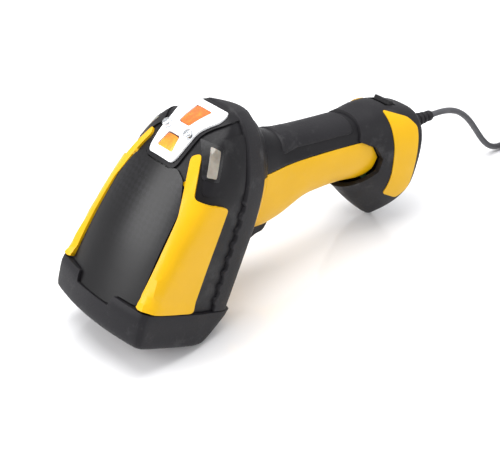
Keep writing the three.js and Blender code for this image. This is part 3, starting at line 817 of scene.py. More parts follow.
@dataclass
class Workshop:
    """Turns finished meshes into pieces that ride on the model."""

    rest: Rest
    paints: Paints

    def piece(self, name: str, made: bmesh.types.BMesh, slot: Slot, body: Body = Body.SCANNER,
              replaces: Sequence[str] = (), edge_mm: float = 0.0, sharp: float = 35.0,
              carve: Sequence[bmesh.types.BMesh] = (), subdivide: int = 0) -> Object:
        """Makes a piece from a mesh in the held frame.

        Args:
            name: the piece's name.
            made: its mesh, in held millimetres; it is used up.
            slot: its finish.
            body: what it rides on.
            replaces: the nodes that it stands for.
            edge_mm: the radius of its edges.
            sharp: the angle above which an edge stays crisp, in degrees.
            carve: bodies that are cut out of it; they are used up.
            subdivide: levels of surface subdivision.

        Returns:
            The piece.
        """
        made_object = self.plain(name, made)
        if carve:
            self.carve(made_object, carve)
        mesh: Mesh = made_object.data
        mesh.shade_smooth()
        mesh.set_sharp_from_angle(angle=math.radians(sharp))
        self.paints.dress(made_object, slot)
        if subdivide:
            level = made_object.modifiers.new("smooth surface", "SUBSURF")
            level.levels = level.render_levels = subdivide
        if edge_mm:
            edge = made_object.modifiers.new("edge radius", "BEVEL")
            edge.width = edge_mm / 1000
            edge.segments = 3
            edge.limit_method = "ANGLE"
            edge.angle_limit = math.radians(sharp)
            edge.harden_normals = True
        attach(made_object, body.value)
        if replaces:
            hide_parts(*replaces)
        LOG.info("%s: %d faces", name, len(mesh.polygons))
        return made_object

    def plain(self, name: str, made: bmesh.types.BMesh) -> Object:
        """Makes a bare object from a mesh in the held frame, which is used up."""
        made.transform(self.rest.matrix)
        mesh = bpy.data.meshes.new(name)
        made.to_mesh(mesh)
        made.free()
        return placed(name, mesh)

    def carve(self, target: Object, cutters: Sequence[bmesh.types.BMesh]) -> None:
        """Cuts closed bodies out of a closed piece.

        Args:
            target: the piece.
            cutters: the bodies, in held millimetres; they are used up.
        """
        knives = [self.plain("knife", cutter) for cutter in cutters]
        for knife in knives:
            step = target.modifiers.new("cut", "BOOLEAN")
            step.operation = "DIFFERENCE"
            step.solver = "EXACT"
            step.object = knife
        graph = bpy.context.evaluated_depsgraph_get()
        carved = bpy.data.meshes.new_from_object(target.evaluated_get(graph))
        target.modifiers.clear()
        target.data = carved
        for knife in knives:
            bpy.data.objects.remove(knife)


# ------------------------------------------------------------------ the head's surface


@dataclass
class HeadForm:
    """The smooth outer form of the head, in the held frame.

    Each station holds x, then the points (y, z) of the left half of its section from the
    crown, over the label's edge and shoulder, down the side to the keel. Behind the last one
    a few rows close the rear, each drawn in to a share of its size, with a slight bulge.
    """

    front: float = -18.0
    rear: float = -119.0
    rise: float = 0.15
    closing: tuple[float, ...] = (1.0, 0.66, 0.33, 0.0)
    bulge: float = 1.2
    stations: tuple[tuple[float, tuple[Pair, ...]], ...] = (
        (-18, ((0, 56), (14.5, 54.8), (29, 51.2), (34, 48.8), (35.5, 22), (34.3, 8), (31, -7),
               (20, -11), (0, -12))),
        (-46, ((0, 51.5), (14, 50.2), (28, 46.4), (33.7, 41.4), (35.2, 21), (34, 8),
               (30.5, -8), (20, -16.5), (0, -18))),
        (-70, ((0, 46), (13.2, 44.7), (26.5, 40.8), (33, 34), (34.5, 20), (33.4, 7.5),
               (29.5, -9), (19, -19), (0, -20.5))),
        (-90, ((0, 40), (10, 39.3), (20, 37.2), (29.5, 30.5), (31.5, 17.5), (30, 6),
               (25.5, -10), (17, -20), (0, -21))),
        (-105, ((0, 32.5), (8, 32.1), (16, 30.8), (24.5, 26), (24.5, 14), (22.5, 4),
                (18.5, -8), (13, -16.5), (0, -18))),
        (-114, ((0, 22.5), (7, 22.3), (14, 21.8), (18.3, 18), (17.5, 10.5), (15, 2),
                (11.5, -6), (8, -11), (0, -12.5))),
        (-119, ((0, 15), (4, 14.9), (8, 14.6), (10, 12.5), (9.5, 9), (8.5, 4), (6.5, -1),
                (4, -4), (0, -5))),
    )

    def section(self, along: float) -> list[list[float]]:
        """Returns the points (x, y, z) round the head at a fraction of its length."""
        return ring_at(self.stations, along)

    def loft(self, offset: float, run_on: float = 0.0, columns: int = 96, rows: int = 80,
             inset: Callable[[Vector], float] | None = None) -> bmesh.types.BMesh:
        """Makes the head's closed surface.

        Args:
            offset: how far the surface is grown, in millimetres.
            run_on: how far the front is carried on past its edge.
            columns: faces round the head.
            rows: faces along it.
            inset: gives how far a point is drawn in below the surface.

        Returns:
            The surface, with both ends closed.
        """
        tail = len(self.closing) - 1
        sections: dict[int, list[list[float]]] = {}

        def place(u: float, v: float) -> Vector:
            """Puts a grid point on the head."""
            row = round(v * (rows + tail))
            along = min(row, rows) / rows
            if row not in sections:
                sections[row] = self.section(along)
            ring = sections[row]
            x, y, z = curve_at(ring, u, closed=True)
            middle = (ring[0][2] + ring[len(ring) // 2][2]) / 2
            rise = abs(ring[0][2] - middle)
            reach = max(p[1] for p in ring)
            y *= 1 + offset / reach
            z = middle + (z - middle) * (1 + offset / rise)
            x = mix(self.front, self.rear - offset,
                    (x - self.front) / (self.rear - self.front))
            if row == 0:
                x += run_on
                z += self.rise * run_on if z > middle else 0.0
            point = Vector((x, y, z))
            if row > rows:
                close = self.closing[row - rows]
                point.y *= close
                point.z = mix(middle, point.z, close)
                point.x -= self.bulge * (1 - close * close)
            if inset:
                drawn = inset(point)
                point.y *= 1 - drawn / reach
                point.z = middle + (point.z - middle) * (1 - drawn / rise)
            return point

        made = sheet(columns, rows + tail, place)
        bmesh.ops.holes_fill(made, edges=made.edges, sides=0)
        face_out(made)
        return made


@dataclass
class HandleForm:
    """The smooth handle: height, rearmost x, foremost x and half width of its sections."""

    stations: tuple[tuple[float, float, float, float], ...] = (
        (-6, -110, -54, 20), (-20, -110.5, -55, 19), (-33, -110.5, -54, 18),
        (-46, -113.5, -60, 17.2), (-62, -118, -74, 16.6), (-78, -123, -81.5, 16.6),
        (-92, -127.5, -86.5, 17), (-110, -133, -90, 17),
    )
    power: float = 2.4

    def point(self, along: float, angle: float, offset: float = 0.0) -> Vector:
        """Finds a point of the surface.

        Args:
            along: 0 at the head and 1 at the foot.
            angle: the direction round the handle, with 0 forwards.
            offset: how far the point stands off, in millimetres.

        Returns:
            The point.
        """
        z, back, front, half = curve_at(self.stations, along)
        c, s = superellipse(angle, self.power)
        x = (front + back) / 2 + ((front - back) / 2 + offset) * c
        return Vector((x, (half + offset) * s, z))

    def tube(self, offset: float, columns: int = 72, rows: int = 60,
             inset: Callable[[Vector], float] | None = None) -> bmesh.types.BMesh:
        """Makes the handle's open tube.

        Args:
            offset: how far the surface is grown, in millimetres.
            columns: faces round the handle.
            rows: faces along it.
            inset: gives how far a point is drawn in below the surface.

        Returns:
            The surface, open at both ends.
        """

        def place(u: float, v: float) -> Vector:
            """Puts a grid point on the handle."""
            point = self.point(v, 2 * math.pi * u, offset)
            if inset is None:
                return point
            return self.point(v, 2 * math.pi * u, offset - inset(point))

        return sheet(columns, rows, place)


@dataclass
class FootForm:
    """The smooth flared foot: height, rearmost x, foremost x and half width of sections."""

    slope: float = -0.105
    middle_x: float = -104.0
    taper: float = 0.88
    top_power: float = 2.4
    sole_power: float = 2.9
    stations: tuple[tuple[float, float, float, float], ...] = (
        (-86, -126.8, -84.5, 17.8), (-94, -130.2, -83.5, 18.6), (-103, -134.4, -80.5, 20),
        (-114, -137.4, -75, 22.4), (-127, -138.9, -69.6, 24.2), (-137, -139.3, -66.4, 24.6),
        (-141, -137.9, -67, 23.4),
    )

    def point(self, along: float, angle: float, offset: float = 0.0, lift: float = 0.0
              ) -> Vector:
        """Finds a point of the surface.

        Args:
            along: 0 at the top and 1 at the sole.
            angle: the direction round the foot, with 0 forwards.
            offset: how far the point stands off, in millimetres.
            lift: how far it is raised.

        Returns:
            The point.
        """
        z, back, front, half = curve_at(self.stations, along)
        c, s = superellipse(angle, mix(self.top_power, self.sole_power, along))
        narrow = 1 - self.taper * along * max(0.0, c) ** 2
        x = (front + back) / 2 + ((front - back) / 2 + offset) * c
        z += self.slope * along * (x - self.middle_x) + lift
        return Vector((x, (half + offset) * s * narrow, z))


# ------------------------------------------------------------------ panels on a surface


@dataclass
class Drape:
    """Lays panels on a surface by dropping them onto it in one direction."""

    skin: BVHTree
    down: Vector
    middle_z: float = 10.0
    drop: float = 160.0
    across: Vector = field(init=False)
    along: Vector = field(init=False)

    def __post_init__(self) -> None:
        """Works out the flat directions of the drop."""
        self.down = self.down.normalized()
        self.along = (Vector((1, 0, 0)) - self.down * self.down.x).normalized()
        self.across = self.down.cross(self.along)

    def hit(self, start: Vector, way: Vector) -> Vector:
        """Returns where a line first meets the surface, or its start if it misses."""
        found = self.skin.ray_cast(start, way)[0]
        return found if found is not None else start

    def from_above(self, points: Sequence[Pair]) -> list[Pair]:
        """Flattens points (x, y) that are given in a view from above."""
        return [self.flat(self.reach(Vector((x, y, CLEAR_MM)), Vector((0, 0, -1)),
                                     Vector((x, 0, CLEAR_MM)))) for x, y in points]

    def from_side(self, points: Sequence[Pair]) -> list[Pair]:
        """Flattens points (x, z) that are given in a view from the left."""
        return [self.flat(self.reach(Vector((x, CLEAR_MM, z)), Vector((0, -1, 0)),
                                     Vector((x, CLEAR_MM, self.middle_z)))) for x, z in points]

    def reach(self, start: Vector, way: Vector, inner: Vector) -> Vector:
        """Meets the surface, or its edge if the start lies past that.

        Args:
            start: where the line starts.
            way: its direction.
            inner: where the start is moved towards until the line meets the surface.

        Returns:
            The meeting point, moved back by as much as the start was moved.
        """
        tries = 40
        for step in range(tries):
            moved = start.lerp(inner, step / tries)
            found = self.skin.ray_cast(moved, way)[0]
            if found is not None:
                return found + (start - moved)
        return start

    def flat(self, point: Vector) -> Pair:
        """Returns a point's place in the plane that the panels drop from."""
        return (point.dot(self.along), point.dot(self.across))

    def panel(self, outline: Sequence[Pair], lift: Callable[[Vector], float] | float,
              cell: float, thickness: float) -> bmesh.types.BMesh:
        """Makes a panel that follows the surface.

        Args:
            outline: its outline in the flat plane.
            lift: how far its face stands off the surface, there or everywhere.
            cell: the size of its faces.
            thickness: its thickness.

        Returns:
            The closed panel.
        """
        made = bmesh.new()
        far = -self.down * self.drop
        points = resampled(outline, cell)
        made.faces.new([made.verts.new(far + self.along * a + self.across * b)
                        for a, b in points])
        for axis, values in ((self.along, [p[0] for p in points]),
                             (self.across, [p[1] for p in points])):
            place = min(values) + cell / 2
            while place < max(values):
                split(made, axis * place, axis)
                place += cell
        bmesh.ops.remove_doubles(made, verts=made.verts, dist=0.08)
        missed = []
        for vert in made.verts:
            found, _, _, depth = self.skin.ray_cast(vert.co, self.down)
            if found is None:
                missed.append(vert)
            else:
                vert.co += self.down * depth
        bmesh.ops.delete(made, geom=missed, context="VERTS")
        made.normal_update()
        for vert in made.verts:
            if vert.normal.dot(self.down) > 0:
                vert.normal.negate()
        moves = [vert.normal * (lift(vert.co) if callable(lift) else lift)
                 for vert in made.verts]
        for vert, move in zip(made.verts, moves):
            vert.co += move
        for face in made.faces:
            if face.normal.dot(self.down) > 0:
                face.normal_flip()
        bmesh.ops.solidify(made, geom=made.faces[:], thickness=thickness)
        face_out(made)
        return made


# ------------------------------------------------------------------ the scanner's parts


@dataclass
class HeadUnit:
    """The casing of the head with its trim."""

    shop: Workshop
    form: HeadForm
    skin: BVHTree
    parting: tuple[Pair, ...] = ((0, -9.2), (-80, -10.5), (-92, -13))
    grip_x: float = -90.5
    label_outline: tuple[Pair, ...] = (
        (-18.3, 28.2), (-69.5, 25.7), (-84, 19.2), (-87.5, 12.8), (-85.6, 9), (-85.6, -9),
        (-87.5, -12.8), (-84, -19.2), (-69.5, -25.7), (-18.3, -28.2), (-18.3, -15),
        (-12.2, -13), (-12.2, 13), (-18.3, 15))
    bumper_inner: tuple[Pair, ...] = ((-18.3, 28.8), (-66.5, 26.4), (-95.5, 15.8))
    bumper_lower: tuple[Pair, ...] = ((-98.5, 33.4), (-77.3, 37.4), (-76.5, 19.5),
                                      (-18.3, 21.5))
    crest: tuple[Triple, Triple] = ((-18, 35, 49), (-77, 33.5, 35))
    crest_lift: float = 3.4
    least_lift: float = 1.3
    inner_fall: float = 0.2
    outer_fall: float = 0.13
    flare: float = 0.9
    cover_side: tuple[Pair, ...] = ((-80, 35), (-83, 9.5), (-111.5, 9.5), (-105, 31))
    lens_side: tuple[Pair, ...] = ((-89, 33.4), (-89.5, 29.6), (-102.5, 27.6), (-103, 30.4))
    collar_top: tuple[Pair, ...] = ((-18, 5.6), (-80, 7.6), (-100, 9), (-112, 10.5),
                                    (-119, 13))
    collar_foot: tuple[Pair, ...] = ((-18, -7.2), (-60, -8.4), (-90, -9.6), (-105, -8),
                                     (-114, -5.5), (-119, -3.5))
    collar_front: float = -18.2
    collar_turn: float = -96.0
    collar_straight: float = 0.36
    collar_sunk: float = 0.7
    collar_proud: float = 1.7
    scallop_mm: float = 8.0
    scallop_rear: float = -80.0

    def build(self) -> None:
        """Builds every piece of the head."""
        self.casing()
        self.label()
        self.bumpers()
        self.covers()
        self.collar()

    def under_yellow(self, point: Vector) -> float:
        """Returns how far the black casing is drawn in where the yellow one covers it."""
        below = smooth((table_at(self.parting, point.x) - point.z) / BLEND_MM)
        ahead = smooth((point.x - self.grip_x) / BLEND_MM)
        return HIDDEN_MM * below * ahead

    def casing(self) -> None:
        """Builds the black head casing as one closed body."""
        made = self.form.loft(0.0, inset=self.under_yellow)
        self.shop.piece("head_shell", made, Slot.BLACK, replaces=["head_casing"], sharp=50)

    def label(self) -> None:
        """Builds the label plate with the tab that laps into the nose boot."""
        drape = Drape(self.skin, Vector((0, 0, -1)))
        outline = drape.from_above(rounded(self.label_outline, 2.5))
        made = drape.panel(outline, lift=1.1, cell=3.0, thickness=0.9)
        self.shop.piece("label_face", made, Slot.LABEL, replaces=["label_plate"], edge_mm=0.35)

    def bumpers(self) -> None:
        """Builds both side bumpers, each with two facets that meet at a crest."""
        drape = Drape(self.skin, Vector((0, -1, -1)))
        inner = drape.from_above(self.bumper_inner)
        lower = drape.from_side(self.bumper_lower)
        outline = rounded(inner + lower, 2.4)
        crest_front, crest_rear = (drape.flat(Vector(end)) for end in self.crest)
        slope = (crest_rear[1] - crest_front[1]) / (crest_rear[0] - crest_front[0])
        sign = math.copysign(1.0, drape.flat(Vector((-40, 20, 60)))[1] - crest_front[1])

        def lift(point: Vector) -> float:
            """Returns the height of a bumper's face over the casing."""
            a, b = drape.flat(point)
            crest = crest_front[1] + slope * (a - crest_front[0])
            gap = (b - crest) * sign
            fall = self.inner_fall * gap if gap > 0 else -self.outer_fall * gap
            flare = self.flare * smooth((a - crest_front[0] + 7) / 6)
            return max(self.least_lift, self.crest_lift - fall) + flare

        made = drape.panel(outline, lift, cell=2.2, thickness=2.4)
        for side, body in (("left", made), ("right", mirrored(made))):
            self.shop.piece(f"bumper_{side}", body, Slot.YELLOW, edge_mm=0.9, sharp=40,
                            replaces=[f"side_bumper_{side}"])

    def covers(self) -> None:
        """Builds the covers and the small lenses behind the bumpers."""
        drape = Drape(self.skin, Vector((0.25, -1, -0.45)))
        cover = drape.panel(rounded(drape.from_side(self.cover_side), 3.0),
                            lift=0.8, cell=2.4, thickness=0.8)
        lens = drape.panel(rounded(drape.from_side(self.lens_side), 0.9),
                           lift=1.3, cell=1.6, thickness=1.2)
        frame = drape.panel(rounded(drape.from_side(grown(self.lens_side, 1.5)), 1.2),
                            lift=1.0, cell=1.6, thickness=0.9)
        for side, turn in (("left", bmesh.types.BMesh.copy), ("right", mirrored)):
            self.shop.piece(f"cover_{side}", turn(cover), Slot.BLACK, edge_mm=0.3,
                            replaces=[f"side_cover_{side}"])
            self.shop.piece(f"lens_surround_{side}", turn(frame), Slot.LABEL, edge_mm=0.3)
            self.shop.piece(f"lens_{side}", turn(lens), Slot.SMOKE, edge_mm=0.35,
                            replaces=[f"side_lens_{side}"])

    def collar(self) -> None:
        """Builds the rubber collar that runs along both sides and round the rear."""
        drape = Drape(self.skin, Vector((0, 0, -1)))
        corner = self.collar_straight

        def ray(u: float) -> tuple[Vector, Vector]:
            """Returns where the collar's path starts its way out, and that way."""
            side = 1.0 if u < 0.5 else -1.0
            run = u if u < 0.5 else 1 - u
            if run < corner:
                x = mix(self.collar_front, self.collar_turn, run / corner)
                return Vector((x, 0, 0)), Vector((0, side, 0))
            angle = math.radians(mix(90, 180, (run - corner) / (0.5 - corner)))
            return (Vector((self.collar_turn, 0, 0)),
                    Vector((math.cos(angle), side * math.sin(angle), 0)))

        def place(u: float, v: float) -> Vector:
            """Puts a grid point of the collar on the head."""
            start, way = ray(u)
            first = self.skin.ray_cast(start, way)[0] or start
            scallop = 1.5 * smooth(math.cos(2 * math.pi * first.x / self.scallop_mm) * 2)
            top = table_at(self.collar_top, first.x)
            top += scallop if first.x > self.scallop_rear else 0.5
            foot = table_at(self.collar_foot, first.x)
            start.z = mix(foot, top, v)
            on = drape.hit(start, way)
            out = on - Vector((start.x, 0, start.z))
            edge = min(v, 1 - v)
            height = mix(-self.collar_sunk, self.collar_proud, smooth(edge / 0.09))
            tail = 0.1 * math.sin(math.pi * v)
            return on + out.normalized() * (height + tail)

        made = sheet(300, 26, place)
        self.shop.piece("rubber_collar", made, Slot.RUBBER, sharp=60,
                        replaces=["side_strip_left", "side_strip_right"])


@dataclass
class NoseUnit:
    """The rubber boot round the scan window."""

    shop: Workshop
    bore: tuple[float, float] = (61.0, 45.0)
    bore_z: float = 27.0
    bore_power: float = 9.0
    rings: tuple[tuple[float, tuple[Pair, ...]], ...] = (
        (2.0, ((0, 55), (15.7, 53.9), (31.5, 50.5), (34.7, 48.3), (35.8, 43), (35.8, 21),
               (34.6, 9), (31, 4.5), (22, 3.3), (0, 2.5))),
        (-0.2, ((0, 57), (16.5, 55.9), (33, 52.6), (36.4, 50.4), (37.5, 45.1), (37.5, 21),
                (36.3, 9), (33, 1.6), (24, 0.4), (0, -0.4))),
        (-8, ((0, 58.4), (16.4, 57.3), (32.8, 54.2), (36.5, 52), (37.8, 46.7), (37.8, 21),
              (36.6, 9), (33.4, -3.4), (24.4, -4.8), (0, -5.6))),
        (-14, ((0, 59), (16.1, 58), (32.2, 55), (36.5, 52.8), (38, 47.5), (38, 21),
               (36.8, 9), (33.4, -6.8), (24.4, -9.8), (0, -10.6))),
        (-17.7, ((0, 58.2), (16, 57.2), (32, 54.4), (36.3, 52.2), (37.7, 46.9), (37.7, 21),
                 (36.5, 9), (33, -8.5), (24, -12.6), (0, -13.4))),
    )

    def build(self) -> None:
        """Builds the boot, cut out for the label's tab."""
        outside, lip, inside = 24, 4, 6
        rows = outside + lip + inside
        lip_ring = ring_at(self.rings, 0.0)

        def bore_point(u: float, x: float) -> Vector:
            """Returns a point of the window's opening in the same direction as the ring's."""
            y, z = curve_at(lip_ring, u, closed=True)[1:]
            way = Vector((y, z - self.bore_z)).normalized()
            half = Vector((self.bore[0] / 2, self.bore[1] / 2))
            power = self.bore_power
            size = (abs(way.x / half.x) ** power + abs(way.y / half.y) ** power) ** (-1 / power)
            return Vector((x, way.x * size, self.bore_z + way.y * size))

        def place(u: float, v: float) -> Vector:
            """Puts a grid point on the boot: outside, front lip, then the opening."""
            row = round(v * rows)
            if row <= outside:
                ring = ring_at(self.rings, 1 - row / outside)
                return Vector(curve_at(ring, u, closed=True))
            outer = Vector(curve_at(lip_ring, u, closed=True))
            if row <= outside + lip:
                t = (row - outside) / lip
                inner = bore_point(u, outer.x)
                point = outer.lerp(inner, t)
                point.x += 0.7 * math.sin(math.pi * t) - 0.4 * t
                return point
            t = (row - outside - lip) / inside
            return bore_point(u, mix(outer.x - 0.6, self.rings[-1][0], t))

        made = bridged(sheet(120, rows, place))
        seat = prism(((-30, 15.3), (-18, 15.3), (-11.9, 13.4), (-11.9, -13.4), (-18, -15.3),
                      (-30, -15.3)), lambda x, y: Vector((x, y, 54.2)), Vector((0, 0, 20)))
        self.shop.piece("nose_rubber", made, Slot.RUBBER, replaces=["nose_boot"], sharp=40,
                        carve=[seat], edge_mm=0.3)


@dataclass
class LampUnit:
    """The signal lamp at the rear of the head."""

    shop: Workshop
    skin: BVHTree
    tilt: float = math.radians(38)
    screw: Triple = (-102.6, 8.4, 33.9)
    waist_x: Pair = (-99.0, -106.0)
    frame_shape: tuple[float, ...] = (-86.0, 12.0, 13.2, 17.4, -118.4)
    bezel_shape: tuple[float, ...] = (-88.2, 10.0, 11.0, 15.0, -117.4)
    lens_front: tuple[Pair, ...] = ((-92.2, 5.8), (-100, 4), (-100, -4), (-92.2, -5.8))
    lens_rear: tuple[Pair, ...] = ((-106.4, 4), (-115, 5.9), (-115, -5.9), (-106.4, -4))

    @property
    def normal(self) -> Vector:
        """The direction that the lamp faces."""
        return Vector((-math.sin(self.tilt), 0, math.cos(self.tilt)))

    def hourglass(self, front_x: float, front: float, waist: float, rear: float,
                  rear_x: float) -> list[Pair]:
        """Makes an hourglass outline, seen from above.

        Args:
            front_x: where its front edge lies.
            front: its half width in front.
            waist: its half width at the waist.
            rear: its half width at the rear.
            rear_x: where its rear edge lies.

        Returns:
            The outline (x, y).
        """
        left = [(front_x, front - 1.5), (front_x - 3, front), (self.waist_x[0], waist),
                (self.waist_x[1], waist), (rear_x + 4, rear), (rear_x, rear - 2.5)]
        return left + [(x, -y) for x, y in reversed(left)]

    def build(self) -> None:
        """Builds the frame, bezel, lenses and screws."""
        drape = Drape(self.skin, -self.normal)
        outer = drape.from_above(rounded(self.hourglass(*self.frame_shape), 2.5))
        frame = drape.panel(outer, lift=1.2, cell=2.6, thickness=1.6)
        self.shop.piece("lamp_surround", frame, Slot.BLACK, replaces=["lamp_frame"],
                        edge_mm=0.6)
        face = drape.from_above(rounded(self.hourglass(*self.bezel_shape), 2.6))
        bezel = drape.panel(face, lift=2.5, cell=2.6, thickness=1.8)
        wells = [self.well(drape, outline, margin=0.35, depth=6.0)
                 for outline in (self.lens_front, self.lens_rear)]
        self.shop.piece("lamp_face", bezel, Slot.WHITE, replaces=["lamp_bezel"], edge_mm=0.5,
                        carve=wells)
        for name, outline in (("front", self.lens_front), ("rear", self.lens_rear)):
            flat = drape.from_above(rounded(outline, 1.2))
            lens = drape.panel(flat, lift=2.0, cell=1.5, thickness=1.2)
            self.shop.piece(f"lamp_window_{name}", lens, Slot.AMBER, edge_mm=0.4,
                            replaces=[f"lamp_lens_{name}"])
        self.screws()

    def well(self, drape: Drape, outline: Sequence[Pair], margin: float, depth: float
             ) -> bmesh.types.BMesh:
        """Makes the body that cuts a lens's well out of the bezel.

        Args:
            drape: the lamp's drape.
            outline: the lens's outline (x, y).
            margin: the gap left round the lens, in millimetres.
            depth: how far the well reaches below the casing's surface.

        Returns:
            The closed body.
        """
        flat = rounded(drape.from_above(grown(outline, margin)), 1.2)
        middle = drape.hit(Vector((sum(x for x, _ in outline) / 4, 0, CLEAR_MM)),
                           Vector((0, 0, -1)))
        height = middle.dot(self.normal)

        def lay(a: float, b: float) -> Vector:
            """Puts an outline point above the lamp."""
            return drape.along * a + drape.across * b + self.normal * (height - depth)

        return prism(flat, lay, self.normal * 2.6 * depth)

    def screws(self) -> None:
        """Builds the two bright screws, each with a driver slot."""
        profile = [(0, 0), (1.1, 0), (1.1, 2.6), (2.5, 2.6), (2.7, 4.0), (2.3, 4.7),
                   (1.3, 5.1), (0, 5.2)]
        for side, name in ((1, "left"), (-1, "right")):
            base = Vector((self.screw[0], side * self.screw[1], self.screw[2]))
            tip = base + self.normal * 5.0
            slot = prism(((-2.6, -0.28), (2.6, -0.28), (2.6, 0.28), (-2.6, 0.28)),
                         lambda a, b, tip=tip: tip + Vector((0, 1, 0)) * a
                         + Vector((math.cos(self.tilt), 0, math.sin(self.tilt))) * b,
                         self.normal * 1.2)
            bmesh.ops.translate(slot, vec=self.normal * -0.6, verts=slot.verts)
            self.shop.piece(f"lamp_screw_{name}", spun(profile, base, self.normal, 28),
                            Slot.SCREW, replaces=[f"bezel_screw_{name}"], carve=[slot],
                            sharp=50)


@dataclass
class HandleUnit:
    """The handle's yellow front, its black back and the grip pad."""

    shop: Workshop
    head: HeadForm
    handle: HandleForm
    parting: tuple[Pair, ...] = ((0, -9.4), (-80, -10.7), (-92, -13.2))
    grip: tuple[Pair, ...] = ((-90.5, -13.2), (-90.5, -19), (-99, -42), (-104, -57),
                              (-109, -72), (-115, -91))
    tongue: tuple[Pair, ...] = ((-113.6, -101), (-108, -108.4), (-100, -109), (-91, -103.5),
                                (-86, -98), (-60, -95))
    wall: float = 2.2
    pad_ends: Pair = (-30.0, -84.0)
    pad_corner: float = 0.09
    pad_end_width: float = 0.86
    pad_edge: tuple[Pair, ...] = ((-31, -101), (-42, -106), (-56, -110), (-75, -116),
                                  (-84, -118.5))

    def build(self) -> None:
        """Builds the three pieces."""
        self.front()
        self.back()
        self.pad()

    def front(self) -> None:
        """Builds the yellow lower casing: the head's underside and the handle's front."""
        slot = slab(((-72, -47), (-30, -47), (-30, -21.2), (-72, -21.2)), 10.2)
        under = self.head.loft(0.15, 0.2)
        cut(under, (-17.9, 0, 0), (1, 0, 0))
        cut(under, (-40, 0, -10.1), (-0.0165, 0, 1))
        cut(under, (-90.5, 0, 0), (-1, 0, 0))
        thicken(under, self.wall)
        front = self.handle.tube(0.12)
        cut(front, (0, 0, -12), (0, 0, 1))
        trim(front, [*self.grip, *self.tongue, (-20.0, -80.0), (-20.0, -5.0), (-90.5, -5.0)])
        thicken(front, self.wall)
        self.shop.piece("front_casing_head", under, Slot.YELLOW, replaces=["lower_casing"],
                        carve=[slot.copy()], sharp=45)
        self.shop.piece("front_casing_handle", front, Slot.YELLOW, edge_mm=0.4, sharp=45,
                        carve=[slot])

    def back(self) -> None:
        """Builds the black back shell, drawn in under the yellow front."""
        rows = tuple((z, x) for x, z in self.grip)

        def inset(point: Vector) -> float:
            """Returns how far the shell is drawn in."""
            edge = table_at(rows, point.z)
            return HIDDEN_MM * smooth((point.x - edge + 0.1) / BLEND_MM)

        made = self.handle.tube(0.0, columns=120, inset=inset)
        cut(made, (0, 0, -108.4), (0, 0, -1))
        bmesh.ops.holes_fill(made, edges=made.edges, sides=0)
        self.shop.piece("back_casing", made, Slot.BLACK, replaces=["handle_back_shell"],
                        sharp=50)

    def pad(self) -> None:
        """Builds the soft pad over the back of the handle."""
        top, foot = self.pad_ends

        def angle_at(z: float, along: float) -> float:
            """Finds the angle at which the pad's edge meets the surface."""
            edge = table_at(self.pad_edge, z)
            return last_held(lambda a: self.handle.point(along, a).x > edge, math.pi)

        def place(u: float, v: float) -> Vector:
            """Puts a grid point on the pad."""
            z = mix(top, foot, v)
            low = last_held(lambda t: self.handle.point(t, 0).z > z, 1.0)
            end = min(1.0, min(v, 1 - v) / self.pad_corner)
            shrink = mix(self.pad_end_width, 1.0, math.sqrt(1 - (1 - end) ** 2))
            reach = (math.pi - angle_at(z, low)) * shrink
            side = min(u, 1 - u)
            rise = min(smooth(side / 0.035), smooth(min(v, 1 - v) / 0.03))
            return self.handle.point(low, math.pi + mix(-reach, reach, u),
                                     mix(-0.4, 1.0, rise))

        made = sheet(64, 60, place)
        self.shop.piece("grip_cushion", made, Slot.RUBBER, replaces=["grip_pad"], sharp=70)


@dataclass
class FootUnit:
    """The flared rubber foot with its inserts and lanyard slot."""

    shop: Workshop
    form: FootForm
    insert: tuple[Pair, ...] = (
        (-85, -137), (-86.5, -124), (-101, -119.5), (-116, -114.5), (-129, -108.5),
        (-146, -106), (-146, -124), (-131, -131.5), (-112, -135.5), (-93, -139.5))
    insert_rear: float = -134.5
    wall: float = 3.2

    def build(self) -> None:
        """Builds the boot and both inserts."""
        self.boot()
        self.inserts()

    def surface(self, offset: float, columns: int = 96, rows: int = 56) -> bmesh.types.BMesh:
        """Makes the foot's open outer surface."""
        return sheet(columns, rows, lambda u, v: self.form.point(v, 2 * math.pi * u, offset))

    def boot(self) -> None:
        """Builds the boot with its rolled rim, cut out for the handle's tongue."""
        outside, rim, inside = 56, 6, 8
        rows = outside + rim + inside

        def place(u: float, v: float) -> Vector:
            """Puts a grid point on the boot: outside, rim, then inside."""
            row = round(v * rows)
            angle = 2 * math.pi * u
            if row <= outside:
                return self.form.point(row / outside, angle)
            if row <= outside + rim:
                t = (row - outside) / rim
                return self.form.point(1.0, angle, -self.wall * t,
                                       -0.5 * math.sin(math.pi * t) * (1 - t))
            t = (row - outside - rim) / inside
            return self.form.point(mix(1.0, 0.0, t), angle, -self.wall)

        made = bridged(sheet(96, rows, place))
        bite = ((-116, -60), (-115.2, -91.2), (-114.2, -101.4), (-108.4, -109), (-99.8, -109.8),
                (-90.8, -104.2), (-84, -97.4), (-60, -90), (-60, -60))
        tongue = slab(bite, 40.0)
        top = slab(((-150, -60), (-150, -88), (-110, -88), (-110, -60)), 40.0)
        pocket = slab(((-160, -122.5), (-135.5, -122.5), (-135.5, -112), (-160, -112)), 6.5)
        self.shop.piece("foot_rubber", made, Slot.RUBBER, replaces=["foot_boot"], sharp=40,
                        carve=[tongue, top, pocket], edge_mm=0.5)

    def inserts(self) -> None:
        """Builds the yellow inserts on both sides of the foot."""
        skin = BVHTree.FromBMesh(self.surface(0.0))
        drape = Drape(skin, Vector((0.15, -1, -0.05)), -120.0)
        made = drape.panel(rounded(drape.from_side(self.trimmed()), 2.2),
                           lift=0.5, cell=2.2, thickness=1.4)
        for side, body in (("left", made), ("right", mirrored(made))):
            self.shop.piece(f"foot_panel_{side}", body, Slot.YELLOW, edge_mm=0.5,
                            replaces=[f"foot_insert_{side}"])

    def trimmed(self) -> list[Pair]:
        """Returns the insert's outline, held where the foot's side turns to its back."""
        return [(max(x, self.insert_rear), z) for x, z in self.insert]


